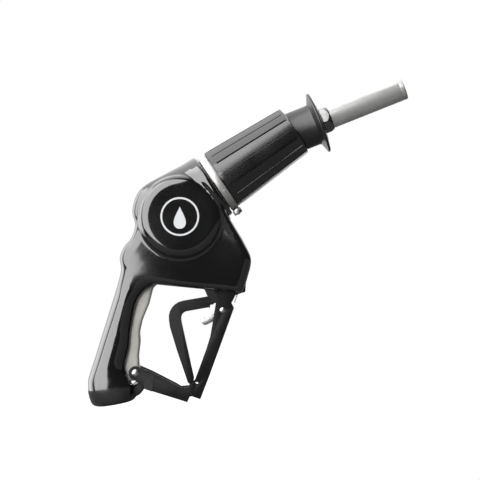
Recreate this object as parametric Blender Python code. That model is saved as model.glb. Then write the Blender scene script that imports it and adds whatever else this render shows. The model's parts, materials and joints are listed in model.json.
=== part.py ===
"""Automatic fuel nozzle with a vapour sleeve, a lever guard and a soft scuff cover.

Frame: the origin is the centre of the hose inlet's end face, +Z runs up the inlet's axis into the
handle, +X points to the spout's side and Y is the normal of the plane that halves the nozzle.
Every size below is in millimetres; MM turns it into metres where a mesh is made.
"""
import math

import bmesh
import bpy
from mathutils import Matrix, Vector

MM = 0.001
GAP = 0.3                      # clearance between pieces that touch or slide on the real nozzle
TURN = 2.0 * math.pi

# ---- overall lines ---------------------------------------------------------------------------
BARREL_CENTRE = (139.8, 199.6)  # centre of the clamp band, where the barrel starts
BARREL_TILT = 24.0              # degrees above +X
BEND_DISTANCE = 85.7            # from the clamp band to the spout's bend, along the barrel
SPOUT_TILT = 11.7               # degrees above +X, past the bend
SPOUT_LENGTH = 124.0            # from the bend to the tip
SPOUT_RADIUS = 10.65            # 21.3 mm spout, the unleaded size
SPOUT_WALL = 1.5
SPOUT_BORE = SPOUT_RADIUS - SPOUT_WALL

# ---- scuff cover and casting -----------------------------------------------------------------
COVER_WALL = 2.6
CASTING_INSET = COVER_WALL + GAP
# One row for each cross-section from the inlet to the barrel: back point (x, z), front point
# (x, z), half width across Y and corner radius.
HANDLE_SECTIONS = (
    ((-17.1, 0.0), (17.7, 0.0), 17.2, 17.0),
    ((-22.6, 3.2), (21.6, 3.0), 18.4, 16.0),
    ((-24.0, 11.0), (23.0, 10.5), 19.0, 15.0),
    ((-23.9, 20.8), (22.2, 19.0), 19.0, 14.0),
    ((-21.5, 30.5), (20.0, 27.0), 18.4, 13.0),
    ((-11.5, 49.5), (18.6, 34.0), 17.4, 12.0),
    ((-2.6, 66.9), (26.3, 52.0), 17.0, 12.0),
    ((6.1, 83.7), (31.5, 70.6), 17.0, 12.0),
    ((18.0, 106.7), (41.0, 94.8), 17.6, 12.0),
    ((24.1, 118.5), (50.5, 105.2), 18.8, 12.0),
    ((29.4, 131.0), (62.0, 109.8), 20.4, 11.0),
)
BODY_SECTIONS = (
    ((30.5, 143.0), (78.0, 105.4), 22.0, 10.0),
    ((36.5, 152.5), (94.0, 101.0), 23.0, 9.5),
    ((45.5, 160.5), (111.0, 96.3), 23.6, 9.0),
    ((51.2, 172.0), (129.0, 91.4), 24.0, 9.0),
    ((50.8, 186.0), (145.2, 87.0), 24.0, 9.0),
    ((57.8, 201.0), (152.5, 101.0), 24.2, 9.5),
    ((69.0, 209.8), (159.4, 118.0), 24.6, 11.0),
    ((92.0, 218.1), (156.5, 134.5), 26.4, 17.0),
    ((106.0, 223.1), (151.0, 151.0), 30.0, 26.0),
)
BARREL_SECTIONS = ((-9.0, 34.9), (-5.6, 34.2), (-4.6, 32.2))   # (distance past the clamp, radius)
BOSS_CENTRE = (97.4, 172.1)
BOSS_RADIUS = 41.0
BOSS_HALF_WIDTH = 33.0
BOSS_SHOULDER = 7.0
INLET_NOSE_RADIUS = 15.4
INLET_BORE_RADIUS = 12.2
INLET_DEPTH = 22.0

# ---- front rib of the handle, where the casting shows --------------------------------------------
RIB_HALF_WIDTH = 8.2
RIB_FRONT = ((30.4, 20.5), (32.2, 26.0), (30.7, 33.2), (31.9, 43.3), (36.4, 58.0), (36.9, 66.0),
             (41.8, 77.8), (50.8, 91.8), (58.0, 107.4), (66.0, 111.5))
RIB_BACK = ((62.0, 122.0), (40.0, 112.0), (26.0, 88.0), (14.0, 60.0), (10.0, 34.0), (13.0, 21.5),
            (24.0, 19.2))

# Lug of the cover between the guard's cheeks, under the lower rivet.
END_LUG = ((21.2, 3.6), (26.0, 4.6), (31.0, 8.6), (33.2, 13.4), (32.4, 17.6), (30.2, 19.4), (23.2, 18.4),
           (21.2, 14.6))
END_LUG_HALF_WIDTH = RIB_HALF_WIDTH - GAP

# ---- fuel passages -----------------------------------------------------------------------------
HANDLE_PASSAGE = ((-1.0, 17.0), (42.0, 127.5))
CROSS_PASSAGE = ((40.5, 125.5), (106.0, 117.0))
PASSAGE_RADIUS = 8.5
BARREL_PASSAGE_RADIUS = 9.0
BARREL_PASSAGE_START = -46.0

# ---- main valve: distances run up its axis from the stem's foot ------------------------------------
STEM_FOOT = (112.8, 90.3)
STEM_LEAN = -10.7               # degrees from +Z towards +X
STEM_RADIUS = 3.0
PACKING_RADIUS = 6.0
PACKING_TOP = 16.7
LOWER_CHAMBER = (20.0, 13.0)    # height of its floor, radius
SEAT_FLOOR = 36.0
SEAT_HEIGHT = 5.0
SEAT_BORE = 9.5
CHAMBER_RADIUS = 14.2
CAP_FLOOR = 104.0
CAP_TOP = 118.0
SPRING_SHELF = 76.0

# ---- trip plunger, lever and latch ---------------------------------------------------------------
HINGE = (130.6, 84.0)
PLUNGER_LEAN = 2.9              # degrees from +Z towards +X
PLUNGER_RADIUS = 5.0
PLUNGER_NECK = 3.1
LATCH_PIN_HEIGHT = 44.0         # above the lever's hinge, along the plunger
SHUTOFF_RADIUS = 12.0
PIN_RADIUS = 2.3
PIN_PLATE_RADIUS = 6.9          # slides inside the shut-off cap
LEVER_HALF_WIDTH = 5.5
LEVER_EYE = 4.6
LEVER_PIN_RADIUS = 1.9
TONGUE_HALF_WIDTH = 2.2
LATCH_PIVOT = (122.6, 73.5)
LATCH_EYE = 4.3
LATCH_HALF_WIDTH = 5.0
LATCH_RIVET_RADIUS = 2.2

# ---- guard -----------------------------------------------------------------------------------------
CHEEK_INNER = RIB_HALF_WIDTH + GAP
CHEEK_OUTER = CHEEK_INNER + 2.0
GUARD_POCKET = CHEEK_OUTER + 1.9
LOWER_RIVET = (26.3, 27.0)
UPPER_RIVETS = ((121.5, 98.7), (142.0, 93.4))
RIVET_RADIUS = 2.0
# The underside of the cover between the handle and the nose of the body.
UNDERSIDE = ((62.0, 109.8), (145.2, 87.0))

# ---- vapour sleeve, clamp, face seal --------------------------------------------------------------
CLAMP_INNER = 31.1
CLAMP_OUTER = 32.3
CLAMP_HALF_WIDTH = 3.5
SLEEVE_START = -4.0
SLEEVE_END = BEND_DISTANCE + 6.7
SLEEVE_BASE_RADIUS = 31.2
SLEEVE_FRONT_RADIUS = SPOUT_RADIUS + 14.95   # leaves room for the collar inside
SLEEVE_WALL = 2.3
SLEEVE_PADS = 14
GROOVE_DEPTH = 1.3
GROOVE_SHARE = 0.17             # of one pad's pitch
NOSE_BORE = SPOUT_RADIUS + 1.85  # takes the adapter that holds the spout
NOSE_RADIUS = NOSE_BORE + 6.5
NOSE_END = 30.0
SPIGOT_RADIUS = 26.2            # under the sleeve's base, whose bore has flats
CHECK_SEAT = 4.0
ADAPTER_START = 16.0
ADAPTER_END = 44.0
SPOUT_START = 22.3
COLLAR_RADIUS = SPOUT_RADIUS + 9.95
COLLAR_BORE = SPOUT_RADIUS + 3.95
SEAL_SPRING_RADIUS = SPOUT_RADIUS + 5.95
COLLAR_START = 2.0              # past the bend, along the spout
FLANGE_DISTANCE = 31.2
FLANGE_RADIUS = 31.0
NUT_START = 35.3
NUT_END = 44.7
NUT_ACROSS = 2.0 * SPOUT_RADIUS + 3.1
FERRULE_LENGTH = 4.6
PORT_DISTANCE = SPOUT_LENGTH - 24.0
VENT_RADIUS = 2.1
VENT_DROP = SPOUT_BORE - VENT_RADIUS - 0.85   # below the spout's axis


# ---- directions and places ---------------------------------------------------------------------
def along(tilt):
    """Direction in the XZ plane, tilt degrees above +X."""
    angle = math.radians(tilt)
    return Vector((math.cos(angle), 0.0, math.sin(angle)))


def flat(point, y=0.0):
    return Vector((point[0], y, point[1]))


def placed(origin, direction):
    """Frame with its local Z along direction; its local Y is the world's where that is possible."""
    z = direction.normalized()
    y = Vector((0.0, 1.0, 0.0))
    if abs(z.dot(y)) > 0.9:
        y = Vector((0.0, 0.0, 1.0))
    x = y.cross(z).normalized()
    y = z.cross(x)
    turn = Matrix((x, y, z)).transposed().to_4x4()
    return Matrix.Translation(origin * MM) @ turn


BARREL_WAY = along(BARREL_TILT)
SPOUT_WAY = along(SPOUT_TILT)
STEM_WAY = along(90.0 - STEM_LEAN)
PLUNGER_WAY = along(90.0 - PLUNGER_LEAN)
UNDER_WAY = (flat(UNDERSIDE[1]) - flat(UNDERSIDE[0])).normalized()
UNDER_IN = Vector((-UNDER_WAY.z, 0.0, UNDER_WAY.x))
BEND = flat(BARREL_CENTRE) + BARREL_WAY * BEND_DISTANCE

AT_ORIGIN = Matrix.Identity(4)
ON_BARREL = placed(flat(BARREL_CENTRE), BARREL_WAY)
ON_SPOUT = placed(BEND, SPOUT_WAY)
ON_STEM = placed(flat(STEM_FOOT), STEM_WAY)
ON_PLUNGER = placed(flat(HINGE), PLUNGER_WAY)
LATCH_PIN_POINT = flat(HINGE) + PLUNGER_WAY * LATCH_PIN_HEIGHT
OUTWARD = Vector((0.0, -1.0, 0.0))
ON_SHUTOFF = placed(LATCH_PIN_POINT, OUTWARD)
ON_BOSS = placed(flat(BOSS_CENTRE), OUTWARD)


def underside(x, inside):
    """Point of the cover's underside at x, moved inside the body by so much."""
    share = (x - UNDERSIDE[0][0]) / (UNDERSIDE[1][0] - UNDERSIDE[0][0])
    z = UNDERSIDE[0][1] + share * (UNDERSIDE[1][1] - UNDERSIDE[0][1])
    point = flat((x, z)) + UNDER_IN * inside
    return (point.x, point.z)


# ---- materials -----------------------------------------------------------------------------------
def finish(name, colour, roughness, metallic):
    material = bpy.data.materials.new(name)
    material.use_nodes = True
    shader = material.node_tree.nodes["Principled BSDF"]
    shader.inputs["Base Color"].default_value = (*colour, 1.0)
    shader.inputs["Roughness"].default_value = roughness
    shader.inputs["Metallic"].default_value = metallic
    return material


def make_finishes():
    return {
        "vinyl": finish("gloss_black_vinyl", (0.010, 0.010, 0.011), 0.16, 0.0),
        "rubber": finish("matte_black_rubber", (0.030, 0.030, 0.031), 0.6, 0.0),
        "cast": finish("cast_aluminium", (0.62, 0.61, 0.58), 0.45, 1.0),
        "spout": finish("brushed_aluminium", (0.66, 0.65, 0.62), 0.34, 1.0),
        "steel": finish("stainless_steel", (0.72, 0.72, 0.71), 0.24, 1.0),
        "plated": finish("bright_plating", (0.82, 0.82, 0.82), 0.12, 1.0),
        "black_steel": finish("black_painted_steel", (0.035, 0.035, 0.037), 0.45, 0.0),
        "brass": finish("brass", (0.70, 0.52, 0.22), 0.3, 1.0),
        "spring": finish("spring_steel", (0.45, 0.45, 0.46), 0.3, 1.0),
        "seal": finish("nitrile_seal", (0.02, 0.02, 0.02), 0.5, 0.0),
        "acetal": finish("white_acetal", (0.75, 0.74, 0.70), 0.4, 0.0),
    }


# ---- mesh helpers --------------------------------------------------------------------------------
def clear_scene():
    for item in list(bpy.data.objects):
        bpy.data.objects.remove(item, do_unlink=True)


def add_object(name, mesh_data, place, material=None, smooth_angle=30.0):
    """Object from a bmesh whose points are in millimetres in the frame of its place."""
    bmesh.ops.scale(mesh_data, vec=(MM, MM, MM), verts=mesh_data.verts)
    bmesh.ops.recalc_face_normals(mesh_data, faces=mesh_data.faces)
    mesh = bpy.data.meshes.new(name)
    mesh_data.to_mesh(mesh)
    mesh_data.free()
    item = bpy.data.objects.new(name, mesh)
    bpy.context.scene.collection.objects.link(item)
    item.matrix_world = place
    if material:
        mesh.materials.append(material)
    mesh.shade_smooth()
    mesh.set_sharp_from_angle(angle=math.radians(smooth_angle))
    return item


def as_tool(item):
    """Mark an object as a cutter or a guide that isn't a piece of the nozzle."""
    item.hide_render = True
    item.display_type = "WIRE"
    return item


def boolean(target, tools, operation):
    """One exact Boolean with all the tools at once, so that no cut rounds the points of another."""
    group = bpy.data.collections.new(target.name + "_" + operation.lower())
    for tool in tools:
        group.objects.link(as_tool(tool))
    triangles = target.modifiers.new("triangles", "TRIANGULATE")
    triangles.quad_method = "FIXED"
    modifier = target.modifiers.new(operation.lower(), "BOOLEAN")
    modifier.operation = operation
    modifier.solver = "EXACT"
    modifier.operand_type = "COLLECTION"
    modifier.collection = group


def cut(target, *tools):
    boolean(target, tools, "DIFFERENCE")


def join(target, *tools):
    boolean(target, tools, "UNION")


def ring_faces(mesh_data, first, second):
    """Faces between two rings of points, where a ring of one point is a pole."""
    if len(first) == 1 and len(second) == 1:
        return
    count = max(len(first), len(second))
    for index in range(count):
        after = (index + 1) % count
        corners = [first[index % len(first)], first[after % len(first)],
                   second[after % len(second)], second[index % len(second)]]
        kept = []
        for corner in corners:
            if corner not in kept:
                kept.append(corner)
        mesh_data.faces.new(kept)


def turned(profile, segments=24):
    """Solid of revolution about local Z; profile is a closed loop of (radius, height)."""
    mesh_data = bmesh.new()
    rings = []
    for radius, height in profile:
        if radius <= 0.0:
            rings.append([mesh_data.verts.new((0.0, 0.0, height))])
            continue
        ring = []
        for step in range(segments):
            angle = TURN * step / segments
            ring.append(mesh_data.verts.new((radius * math.cos(angle), radius * math.sin(angle), height)))
        rings.append(ring)
    for index, ring in enumerate(rings):
        ring_faces(mesh_data, ring, rings[(index + 1) % len(rings)])
    return mesh_data


def rod(radius, bottom, top):
    return [(0.0, bottom), (radius, bottom), (radius, top), (0.0, top)]


def pipe(inner, outer, bottom, top):
    return [(inner, bottom), (outer, bottom), (outer, top), (inner, top)]


def slab(outline, low, high):
    """Prism of an outline in the XZ plane, from y = low to y = high."""
    mesh_data = bmesh.new()
    near = [mesh_data.verts.new((x, low, z)) for x, z in outline]
    far = [mesh_data.verts.new((x, high, z)) for x, z in outline]
    ring_faces(mesh_data, near, far)
    mesh_data.faces.new(near)
    mesh_data.faces.new(list(reversed(far)))
    return mesh_data


def arc(centre, radius, start, end, steps):
    """Points of an arc in the XZ plane, in degrees above +X."""
    points = []
    for step in range(steps + 1):
        angle = math.radians(start + (end - start) * step / steps)
        points.append((centre[0] + radius * math.cos(angle), centre[1] + radius * math.sin(angle)))
    return points


def swept(path, outer, inner=0.0, sides=16):
    """Tube, or a rod where inner is 0, along a path of points."""
    mesh_data = bmesh.new()
    outside = []
    inside = []
    up = Vector((0.0, 1.0, 0.0))
    for index, point in enumerate(path):
        before = path[max(index - 1, 0)]
        after = path[min(index + 1, len(path) - 1)]
        way = (after - before).normalized()
        side = up.cross(way).normalized()
        top = way.cross(side)
        outer_ring = []
        inner_ring = []
        for step in range(sides):
            angle = TURN * step / sides
            offset = side * math.cos(angle) + top * math.sin(angle)
            outer_ring.append(mesh_data.verts.new(point + offset * outer))
            if inner:
                inner_ring.append(mesh_data.verts.new(point + offset * inner))
        outside.append(outer_ring)
        inside.append(inner_ring)
    for first, second in zip(outside, outside[1:]):
        ring_faces(mesh_data, first, second)
    if inner:
        for first, second in zip(inside, inside[1:]):
            ring_faces(mesh_data, first, second)
        ring_faces(mesh_data, outside[0], inside[0])
        ring_faces(mesh_data, outside[-1], inside[-1])
    else:
        mesh_data.faces.new(outside[0])
        mesh_data.faces.new(outside[-1])
    return mesh_data


def coil(radius, wire, start, end, turns, end_radius=None):
    """Spring wire about local Z, with flat-capped ends."""
    per_turn = 8
    sides = 4
    last = radius if end_radius is None else end_radius
    steps = int(turns * per_turn)
    mesh_data = bmesh.new()
    rings = []
    low = start + wire
    rise = end - start - 2.0 * wire
    for step in range(steps + 1):
        share = step / steps
        angle = TURN * turns * share
        reach = radius + (last - radius) * share
        out = Vector((math.cos(angle), math.sin(angle), 0.0))
        ring = []
        for side in range(sides):
            turn = TURN * side / sides
            point = out * (reach + wire * math.cos(turn))
            point.z = low + rise * share + wire * math.sin(turn)
            ring.append(mesh_data.verts.new(point))
        rings.append(ring)
    for first, second in zip(rings, rings[1:]):
        ring_faces(mesh_data, first, second)
    mesh_data.faces.new(rings[0])
    mesh_data.faces.new(rings[-1])
    return mesh_data


def hexagon(across, bottom, top, bore, chamfer):
    """Hexagonal nut about local Z with a chamfer on its top corners."""
    corner = across / math.sqrt(3.0)
    mesh_data = bmesh.new()
    rings = []
    rows = ((bore, bottom), (corner, bottom), (corner, top - chamfer), (corner - 1.6 * chamfer, top),
            (bore, top))
    for radius, height in rows:
        ring = []
        for step in range(24):
            angle = TURN * step / 24
            reach = radius
            if radius == corner:
                reach = 0.5 * across / math.cos(((angle + TURN / 12.0) % (TURN / 6.0)) - TURN / 12.0)
            ring.append(mesh_data.verts.new((reach * math.cos(angle), reach * math.sin(angle), height)))
        rings.append(ring)
    for index, ring in enumerate(rings):
        ring_faces(mesh_data, ring, rings[(index + 1) % len(rings)])
    return mesh_data


# ---- the nozzle's outer form ----------------------------------------------------------------------
def barrel_section(distance, radius):
    centre = flat(BARREL_CENTRE) + BARREL_WAY * distance
    across = Vector((BARREL_WAY.z, 0.0, -BARREL_WAY.x))
    top = centre - across * radius
    bottom = centre + across * radius
    return ((top.x, top.z), (bottom.x, bottom.z), radius, radius)


def all_sections():
    return list(HANDLE_SECTIONS + BODY_SECTIONS) + [barrel_section(*row) for row in BARREL_SECTIONS]


def edge_way(sections, index, side):
    """Direction of the outline at one end of a section."""
    before = flat(sections[max(index - 1, 0)][side])
    after = flat(sections[min(index + 1, len(sections) - 1)][side])
    return (after - before).normalized()


def section_ring(back, front, half_width, corner, steps):
    """Rounded rectangle that stands on the line from back to front."""
    way = (front - back).normalized()
    middle = (front + back) * 0.5
    half_length = (front - back).length * 0.5
    radius = min(corner, 0.93 * min(half_length, half_width))
    points = []
    for quarter in range(4):
        sign_u = (1, -1, -1, 1)[quarter]
        sign_y = (1, 1, -1, -1)[quarter]
        for step in range(steps + 1):
            angle = (quarter + step / steps) * TURN / 4.0
            u = sign_u * (half_length - radius) + radius * math.cos(angle)
            y = sign_y * (half_width - radius) + radius * math.sin(angle)
            points.append(middle + way * u + Vector((0.0, y, 0.0)))
    return points


def form(inset, steps, first=0, tail=0.0):
    """Loft through the sections, moved in by inset; tail lengthens it past the barrel's end."""
    sections = all_sections()
    rings = []
    for index in range(first, len(sections)):
        back, front, half_width, corner = sections[index]
        back_point = flat(back)
        front_point = flat(front)
        way = (front_point - back_point).normalized()
        back_slope = max(0.45, abs(way.cross(edge_way(sections, index, 0)).y))
        front_slope = max(0.45, abs(way.cross(edge_way(sections, index, 1)).y))
        if index >= len(sections) - len(BARREL_SECTIONS):
            back_slope = 1.0
            front_slope = 1.0
        back_point += way * (inset / back_slope)
        front_point -= way * (inset / front_slope)
        rings.append(section_ring(back_point, front_point, half_width - inset, corner - 0.5 * inset,
                                  steps))
    if tail:
        rings.append([point + BARREL_WAY * tail for point in rings[-1]])
    mesh_data = bmesh.new()
    loops = [[mesh_data.verts.new(point) for point in ring] for ring in rings]
    for one, two in zip(loops, loops[1:]):
        count = len(one)
        for index in range(count):
            after = (index + 1) % count
            mesh_data.faces.new((one[index], one[after], two[after]))
            mesh_data.faces.new((one[index], two[after], two[index]))
    mesh_data.faces.new(loops[0])
    mesh_data.faces.new(loops[-1])
    return mesh_data


def boss(inset, segments):
    """Round side boss with soft shoulders on both faces."""
    radius = BOSS_RADIUS - inset
    half = BOSS_HALF_WIDTH - inset
    shoulder = BOSS_SHOULDER - 0.5 * inset
    profile = [(0.0, -half)]
    steps = 2
    for step in range(steps + 1):
        angle = TURN * 0.25 * step / steps
        profile.append((radius - shoulder + shoulder * math.sin(angle),
                        -half + shoulder - shoulder * math.cos(angle)))
    for step in range(steps + 1):
        angle = TURN * 0.25 * step / steps
        profile.append((radius - shoulder + shoulder * math.cos(angle),
                        half - shoulder + shoulder * math.sin(angle)))
    profile.append((0.0, half))
    return turned(profile, segments)


def cylinder(name, place, radius, bottom, top, segments=20):
    return add_object(name, turned(rod(radius, bottom, top), segments), place)


def between(name, start, end, radius):
    way = flat(end) - flat(start)
    return cylinder(name, placed(flat(start), way), radius, 0.0, way.length)


def pocket_outline(x_from, x_to, depth, below):
    """Strip along the underside, from below it to so far inside the body."""
    return [underside(x_from, -below), underside(x_to, -below), underside(x_to, depth),
            underside(x_from, depth)]


def make_cover(mats):
    cover = add_object("scuff_cover", form(0.0, 4), AT_ORIGIN, mats["vinyl"], 40.0)
    lug = add_object("cover_end_lug", slab(END_LUG, -END_LUG_HALF_WIDTH, END_LUG_HALF_WIDTH), AT_ORIGIN)
    join(cover, add_object("cover_boss_form", boss(0.0, 40), ON_BOSS), lug)
    cavity = add_object("cover_cavity", form(COVER_WALL, 2, first=1, tail=6.0), AT_ORIGIN)
    join(cavity, add_object("cavity_boss_form", boss(COVER_WALL, 28), ON_BOSS))
    inlet_hole = cylinder("cover_inlet_hole", AT_ORIGIN, INLET_NOSE_RADIUS + GAP, -4.0, 16.0, 28)
    outward = [(x + 14.0, z - 9.0) for x, z in RIB_FRONT]
    rib_slot = add_object("cover_rib_slot", slab(outward + list(RIB_BACK), -RIB_HALF_WIDTH - 2.0 * GAP,
                                                 RIB_HALF_WIDTH + 2.0 * GAP), AT_ORIGIN)
    under_slot = add_object("cover_under_slot", slab(pocket_outline(102.6, 149.5, 11.5, 12.0),
                                                     -GUARD_POCKET, GUARD_POCKET), AT_ORIGIN)
    near_end = guard_end_tool("cover_near_guard_end", -GUARD_POCKET, -END_LUG_HALF_WIDTH - 0.1)
    far_end = guard_end_tool("cover_far_guard_end", END_LUG_HALF_WIDTH + 0.1, GUARD_POCKET)
    cut(cover, cavity, inlet_hole, rib_slot, under_slot, near_end, far_end)
    return cover


def guard_end_tool(name, low, high):
    """Room in the cover's front for one cheek of the guard's lower end and its rivet head."""
    outline = [(17.4, 19.0), (19.0, 34.6), (34.0, 38.0), (44.0, 20.0), (30.0, 2.0), (23.6, 13.0)]
    return add_object(name, slab(outline, low, high), AT_ORIGIN)


def make_casting(mats):
    casting = add_object("body_casting", form(CASTING_INSET, 2, first=2), AT_ORIGIN, mats["cast"], 40.0)
    nose = add_object("casting_inlet_nose", turned(rod(INLET_NOSE_RADIUS, 0.0, 16.0), 28), AT_ORIGIN)
    side = add_object("casting_boss_form", boss(CASTING_INSET, 28), ON_BOSS)
    nose_profile = [(0.0, -20.0), (SPIGOT_RADIUS, -20.0), (SPIGOT_RADIUS, 5.0), (NOSE_RADIUS, 8.0),
                    (NOSE_RADIUS, NOSE_END), (0.0, NOSE_END)]
    spigot = add_object("casting_spigot", turned(nose_profile, 28), ON_BARREL)
    pad = add_object("casting_guard_pad", slab(pocket_outline(103.4, 146.0, 7.0, -1.0),
                                               -RIB_HALF_WIDTH - 1.0, RIB_HALF_WIDTH + 1.0), AT_ORIGIN)
    rib = add_object("casting_front_rib", slab(list(RIB_FRONT) + list(RIB_BACK),
                                               -RIB_HALF_WIDTH, RIB_HALF_WIDTH), AT_ORIGIN)
    join(casting, nose, side, spigot, pad, rib)
    slots = []
    for name, low, high in (("near_slot", -GUARD_POCKET + GAP, -RIB_HALF_WIDTH),
                            ("far_slot", RIB_HALF_WIDTH, GUARD_POCKET - GAP)):
        outline = pocket_outline(104.2, 149.3, 11.0, 12.0)
        slots.append(add_object("casting_" + name, slab(outline, low, high), AT_ORIGIN))
    shelf = BOSS_HALF_WIDTH - CASTING_INSET - 6.0
    cap_seat = add_object("casting_cap_seat", turned(rod(BOSS_RADIUS, shelf, BOSS_HALF_WIDTH + 2.0), 32), ON_BOSS)
    vapour_room = add_object("casting_vapour_room", turned(rod(29.0, 19.5, shelf + 1.0), 32),
                             ON_BOSS)
    bores = [
        cylinder("inlet_bore", AT_ORIGIN, INLET_BORE_RADIUS, -2.0, INLET_DEPTH, 28),
        between("handle_passage", *HANDLE_PASSAGE, PASSAGE_RADIUS),
        between("cross_passage", *CROSS_PASSAGE, PASSAGE_RADIUS - 0.4),
        cylinder("lower_chamber", ON_STEM, LOWER_CHAMBER[1], LOWER_CHAMBER[0], SEAT_FLOOR + 1.0, 24),
        cylinder("upper_chamber", ON_STEM, CHAMBER_RADIUS, SEAT_FLOOR, CAP_TOP + 20.0, 24),
        cylinder("packing_bore", ON_STEM, PACKING_RADIUS + GAP, -2.0, PACKING_TOP + GAP, 20),
        cylinder("stem_hole", ON_STEM, STEM_RADIUS + GAP, PACKING_TOP - 1.0, LOWER_CHAMBER[0] + 1.0, 16),
        cylinder("barrel_passage", ON_BARREL, BARREL_PASSAGE_RADIUS, BARREL_PASSAGE_START, NOSE_END + 2.0, 24),
        cylinder("nose_bore", ON_BARREL, NOSE_BORE, CHECK_SEAT, NOSE_END + 4.0, 24),
        cylinder("plunger_bore_low", ON_PLUNGER, PLUNGER_RADIUS + GAP, -2.0, 22.0, 20),
        cylinder("plunger_hole", ON_PLUNGER, PLUNGER_NECK + GAP, 20.0, 28.0, 16),
        cylinder("plunger_bore_high", ON_PLUNGER, PLUNGER_RADIUS + GAP, 26.0, 54.0, 20),
        cylinder("shutoff_room", ON_SHUTOFF, SHUTOFF_RADIUS + GAP, 9.5, 26.0, 24),
        cylinder("latch_pin_hole", ON_SHUTOFF, PIN_RADIUS + GAP, 3.5, 11.0, 14),
    ]
    rivets = [across_tool("upper_rivet_hole_%d" % number, point, RIVET_RADIUS + GAP)
              for number, point in enumerate(UPPER_RIVETS)]
    rivets.append(across_tool("lower_rivet_hole", LOWER_RIVET, RIVET_RADIUS + GAP))
    cap_holes = [add_object("cap_screw_hole_%d" % number, turned(rod(1.6, shelf - 9.0, shelf + 2.0), 10), place)
                 for number, place in enumerate(cap_screw_places())]
    cut(casting, cap_seat, vapour_room, *slots, *bores, *rivets, *cap_holes)
    return casting


def across_tool(name, point, radius):
    """Cutter for a hole that runs right across in Y."""
    return cylinder(name, placed(flat(point), OUTWARD), radius, -30.0, 30.0, 14)


def cap_screw_places():
    """Six screws on a circle round the boss."""
    places = []
    for number in range(6):
        angle = TURN * (number + 0.5) / 6
        offset = Vector((33.2 * math.cos(angle), 0.0, 33.2 * math.sin(angle)))
        places.append(placed(flat(BOSS_CENTRE) + offset, OUTWARD))
    return places


# ---- pieces on the casting --------------------------------------------------------------------------
def make_vapour_valve(mats):
    """Round diaphragm valve under the cover's boss; heights run out along -Y."""
    shelf = BOSS_HALF_WIDTH - CASTING_INSET - 6.0
    outer = BOSS_RADIUS - CASTING_INSET - 0.6
    dish = [(0.0, shelf + 3.8), (27.0, shelf + 3.8), (29.0, shelf + 1.2), (outer - GAP, shelf + 1.2),
            (outer - GAP, shelf + 1.6), (outer - 3.0, shelf + 3.6), (outer - 7.0, shelf + 5.6),
            (0.0, shelf + 5.6)]
    cap = add_object("vapour_valve_cap", turned(dish, 28), ON_BOSS, mats["cast"])
    diaphragm = add_object("vapour_valve_diaphragm", turned(rod(outer - GAP, shelf + 0.3, shelf + 0.9), 28),
                           ON_BOSS, mats["seal"])
    screws = []
    for number, place in enumerate(cap_screw_places()):
        through = turned(rod(1.9, shelf - 1.0, shelf + 8.0), 10)
        hole = add_object("cap_screw_clear_%d" % number, through, place)
        pocket = turned(rod(3.3, shelf + 2.3, shelf + 8.0), 12)
        head_room = add_object("cap_head_room_%d" % number, pocket, place)
        cut(cap, hole, head_room)
        cut(diaphragm, hole)
        profile = [(0.0, shelf - 7.0), (1.3, shelf - 7.0), (1.3, shelf + 2.6), (2.9, shelf + 2.6),
                   (2.9, shelf + 4.2), (0.0, shelf + 4.2)]
        screws.append(add_object("cap_screw_%d" % (number + 1), turned(profile, 10), place, mats["steel"]))
    plate = [(0.0, 21.2), (20.0, 21.2), (20.0, shelf), (0.0, shelf)]
    add_object("vapour_valve_plate", turned(plate, 24), ON_BOSS, mats["acetal"])
    return cap


def make_main_valve(mats):
    """Seat, seal, poppet, stem, spring and cap along the main valve's axis."""
    seat_top = SEAT_FLOOR + SEAT_HEIGHT
    add_object("main_valve_seat", turned(pipe(SEAT_BORE, CHAMBER_RADIUS - GAP, SEAT_FLOOR + GAP, seat_top), 24),
               ON_STEM, mats["brass"])
    seal_low = seat_top + GAP
    seal_high = seal_low + 2.5
    add_object("main_valve_seal", turned(pipe(STEM_RADIUS + GAP, 11.6, seal_low, seal_high), 24),
               ON_STEM, mats["seal"])
    poppet_low = seal_high + GAP
    socket = STEM_RADIUS + GAP
    poppet = [(0.0, poppet_low + 3.6), (socket, poppet_low + 3.6), (socket, poppet_low), (12.0, poppet_low),
              (12.0, poppet_low + 4.0), (4.0, poppet_low + 6.0), (4.0, SPRING_SHELF + 6.0),
              (0.0, SPRING_SHELF + 6.0)]
    add_object("main_valve_poppet", turned(poppet, 24), ON_STEM, mats["acetal"])
    foot = [(x, z + STEM_RADIUS) for x, z in arc((0.0, 0.0), STEM_RADIUS, -90.0, 0.0, 5)]
    stem = [(0.0, 0.0)] + foot[1:] + [(STEM_RADIUS, poppet_low + 3.2), (0.0, poppet_low + 3.2)]
    add_object("main_valve_stem", turned(stem, 16), ON_STEM, mats["steel"])
    spring = coil(7.6, 0.9, poppet_low + 6.4, SPRING_SHELF - GAP, 4)
    add_object("main_valve_spring", spring, ON_STEM, mats["spring"])
    spigot = 6.6
    rim = CHAMBER_RADIUS - GAP
    guide_top = SPRING_SHELF + 16.0
    cap = [(4.0 + GAP, SPRING_SHELF), (9.6, SPRING_SHELF), (9.6, SPRING_SHELF + 3.0),
           (spigot, SPRING_SHELF + 3.0), (spigot, CAP_FLOOR), (rim, CAP_FLOOR), (rim, CAP_TOP),
           (6.0, CAP_TOP), (6.0, CAP_TOP - 6.0), (0.0, CAP_TOP - 6.0), (0.0, guide_top), (4.0 + GAP, guide_top)]
    add_object("main_valve_cap", turned(cap, 24), ON_STEM, mats["brass"])
    packing = turned(pipe(STEM_RADIUS + 0.2, PACKING_RADIUS, 13.3, PACKING_TOP), 16)
    add_object("stem_packing", packing, ON_STEM, mats["seal"])
    nut = turned(pipe(STEM_RADIUS + 0.2, PACKING_RADIUS, 8.4, 13.0), 16)
    add_object("packing_nut", nut, ON_STEM, mats["brass"])


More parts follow.
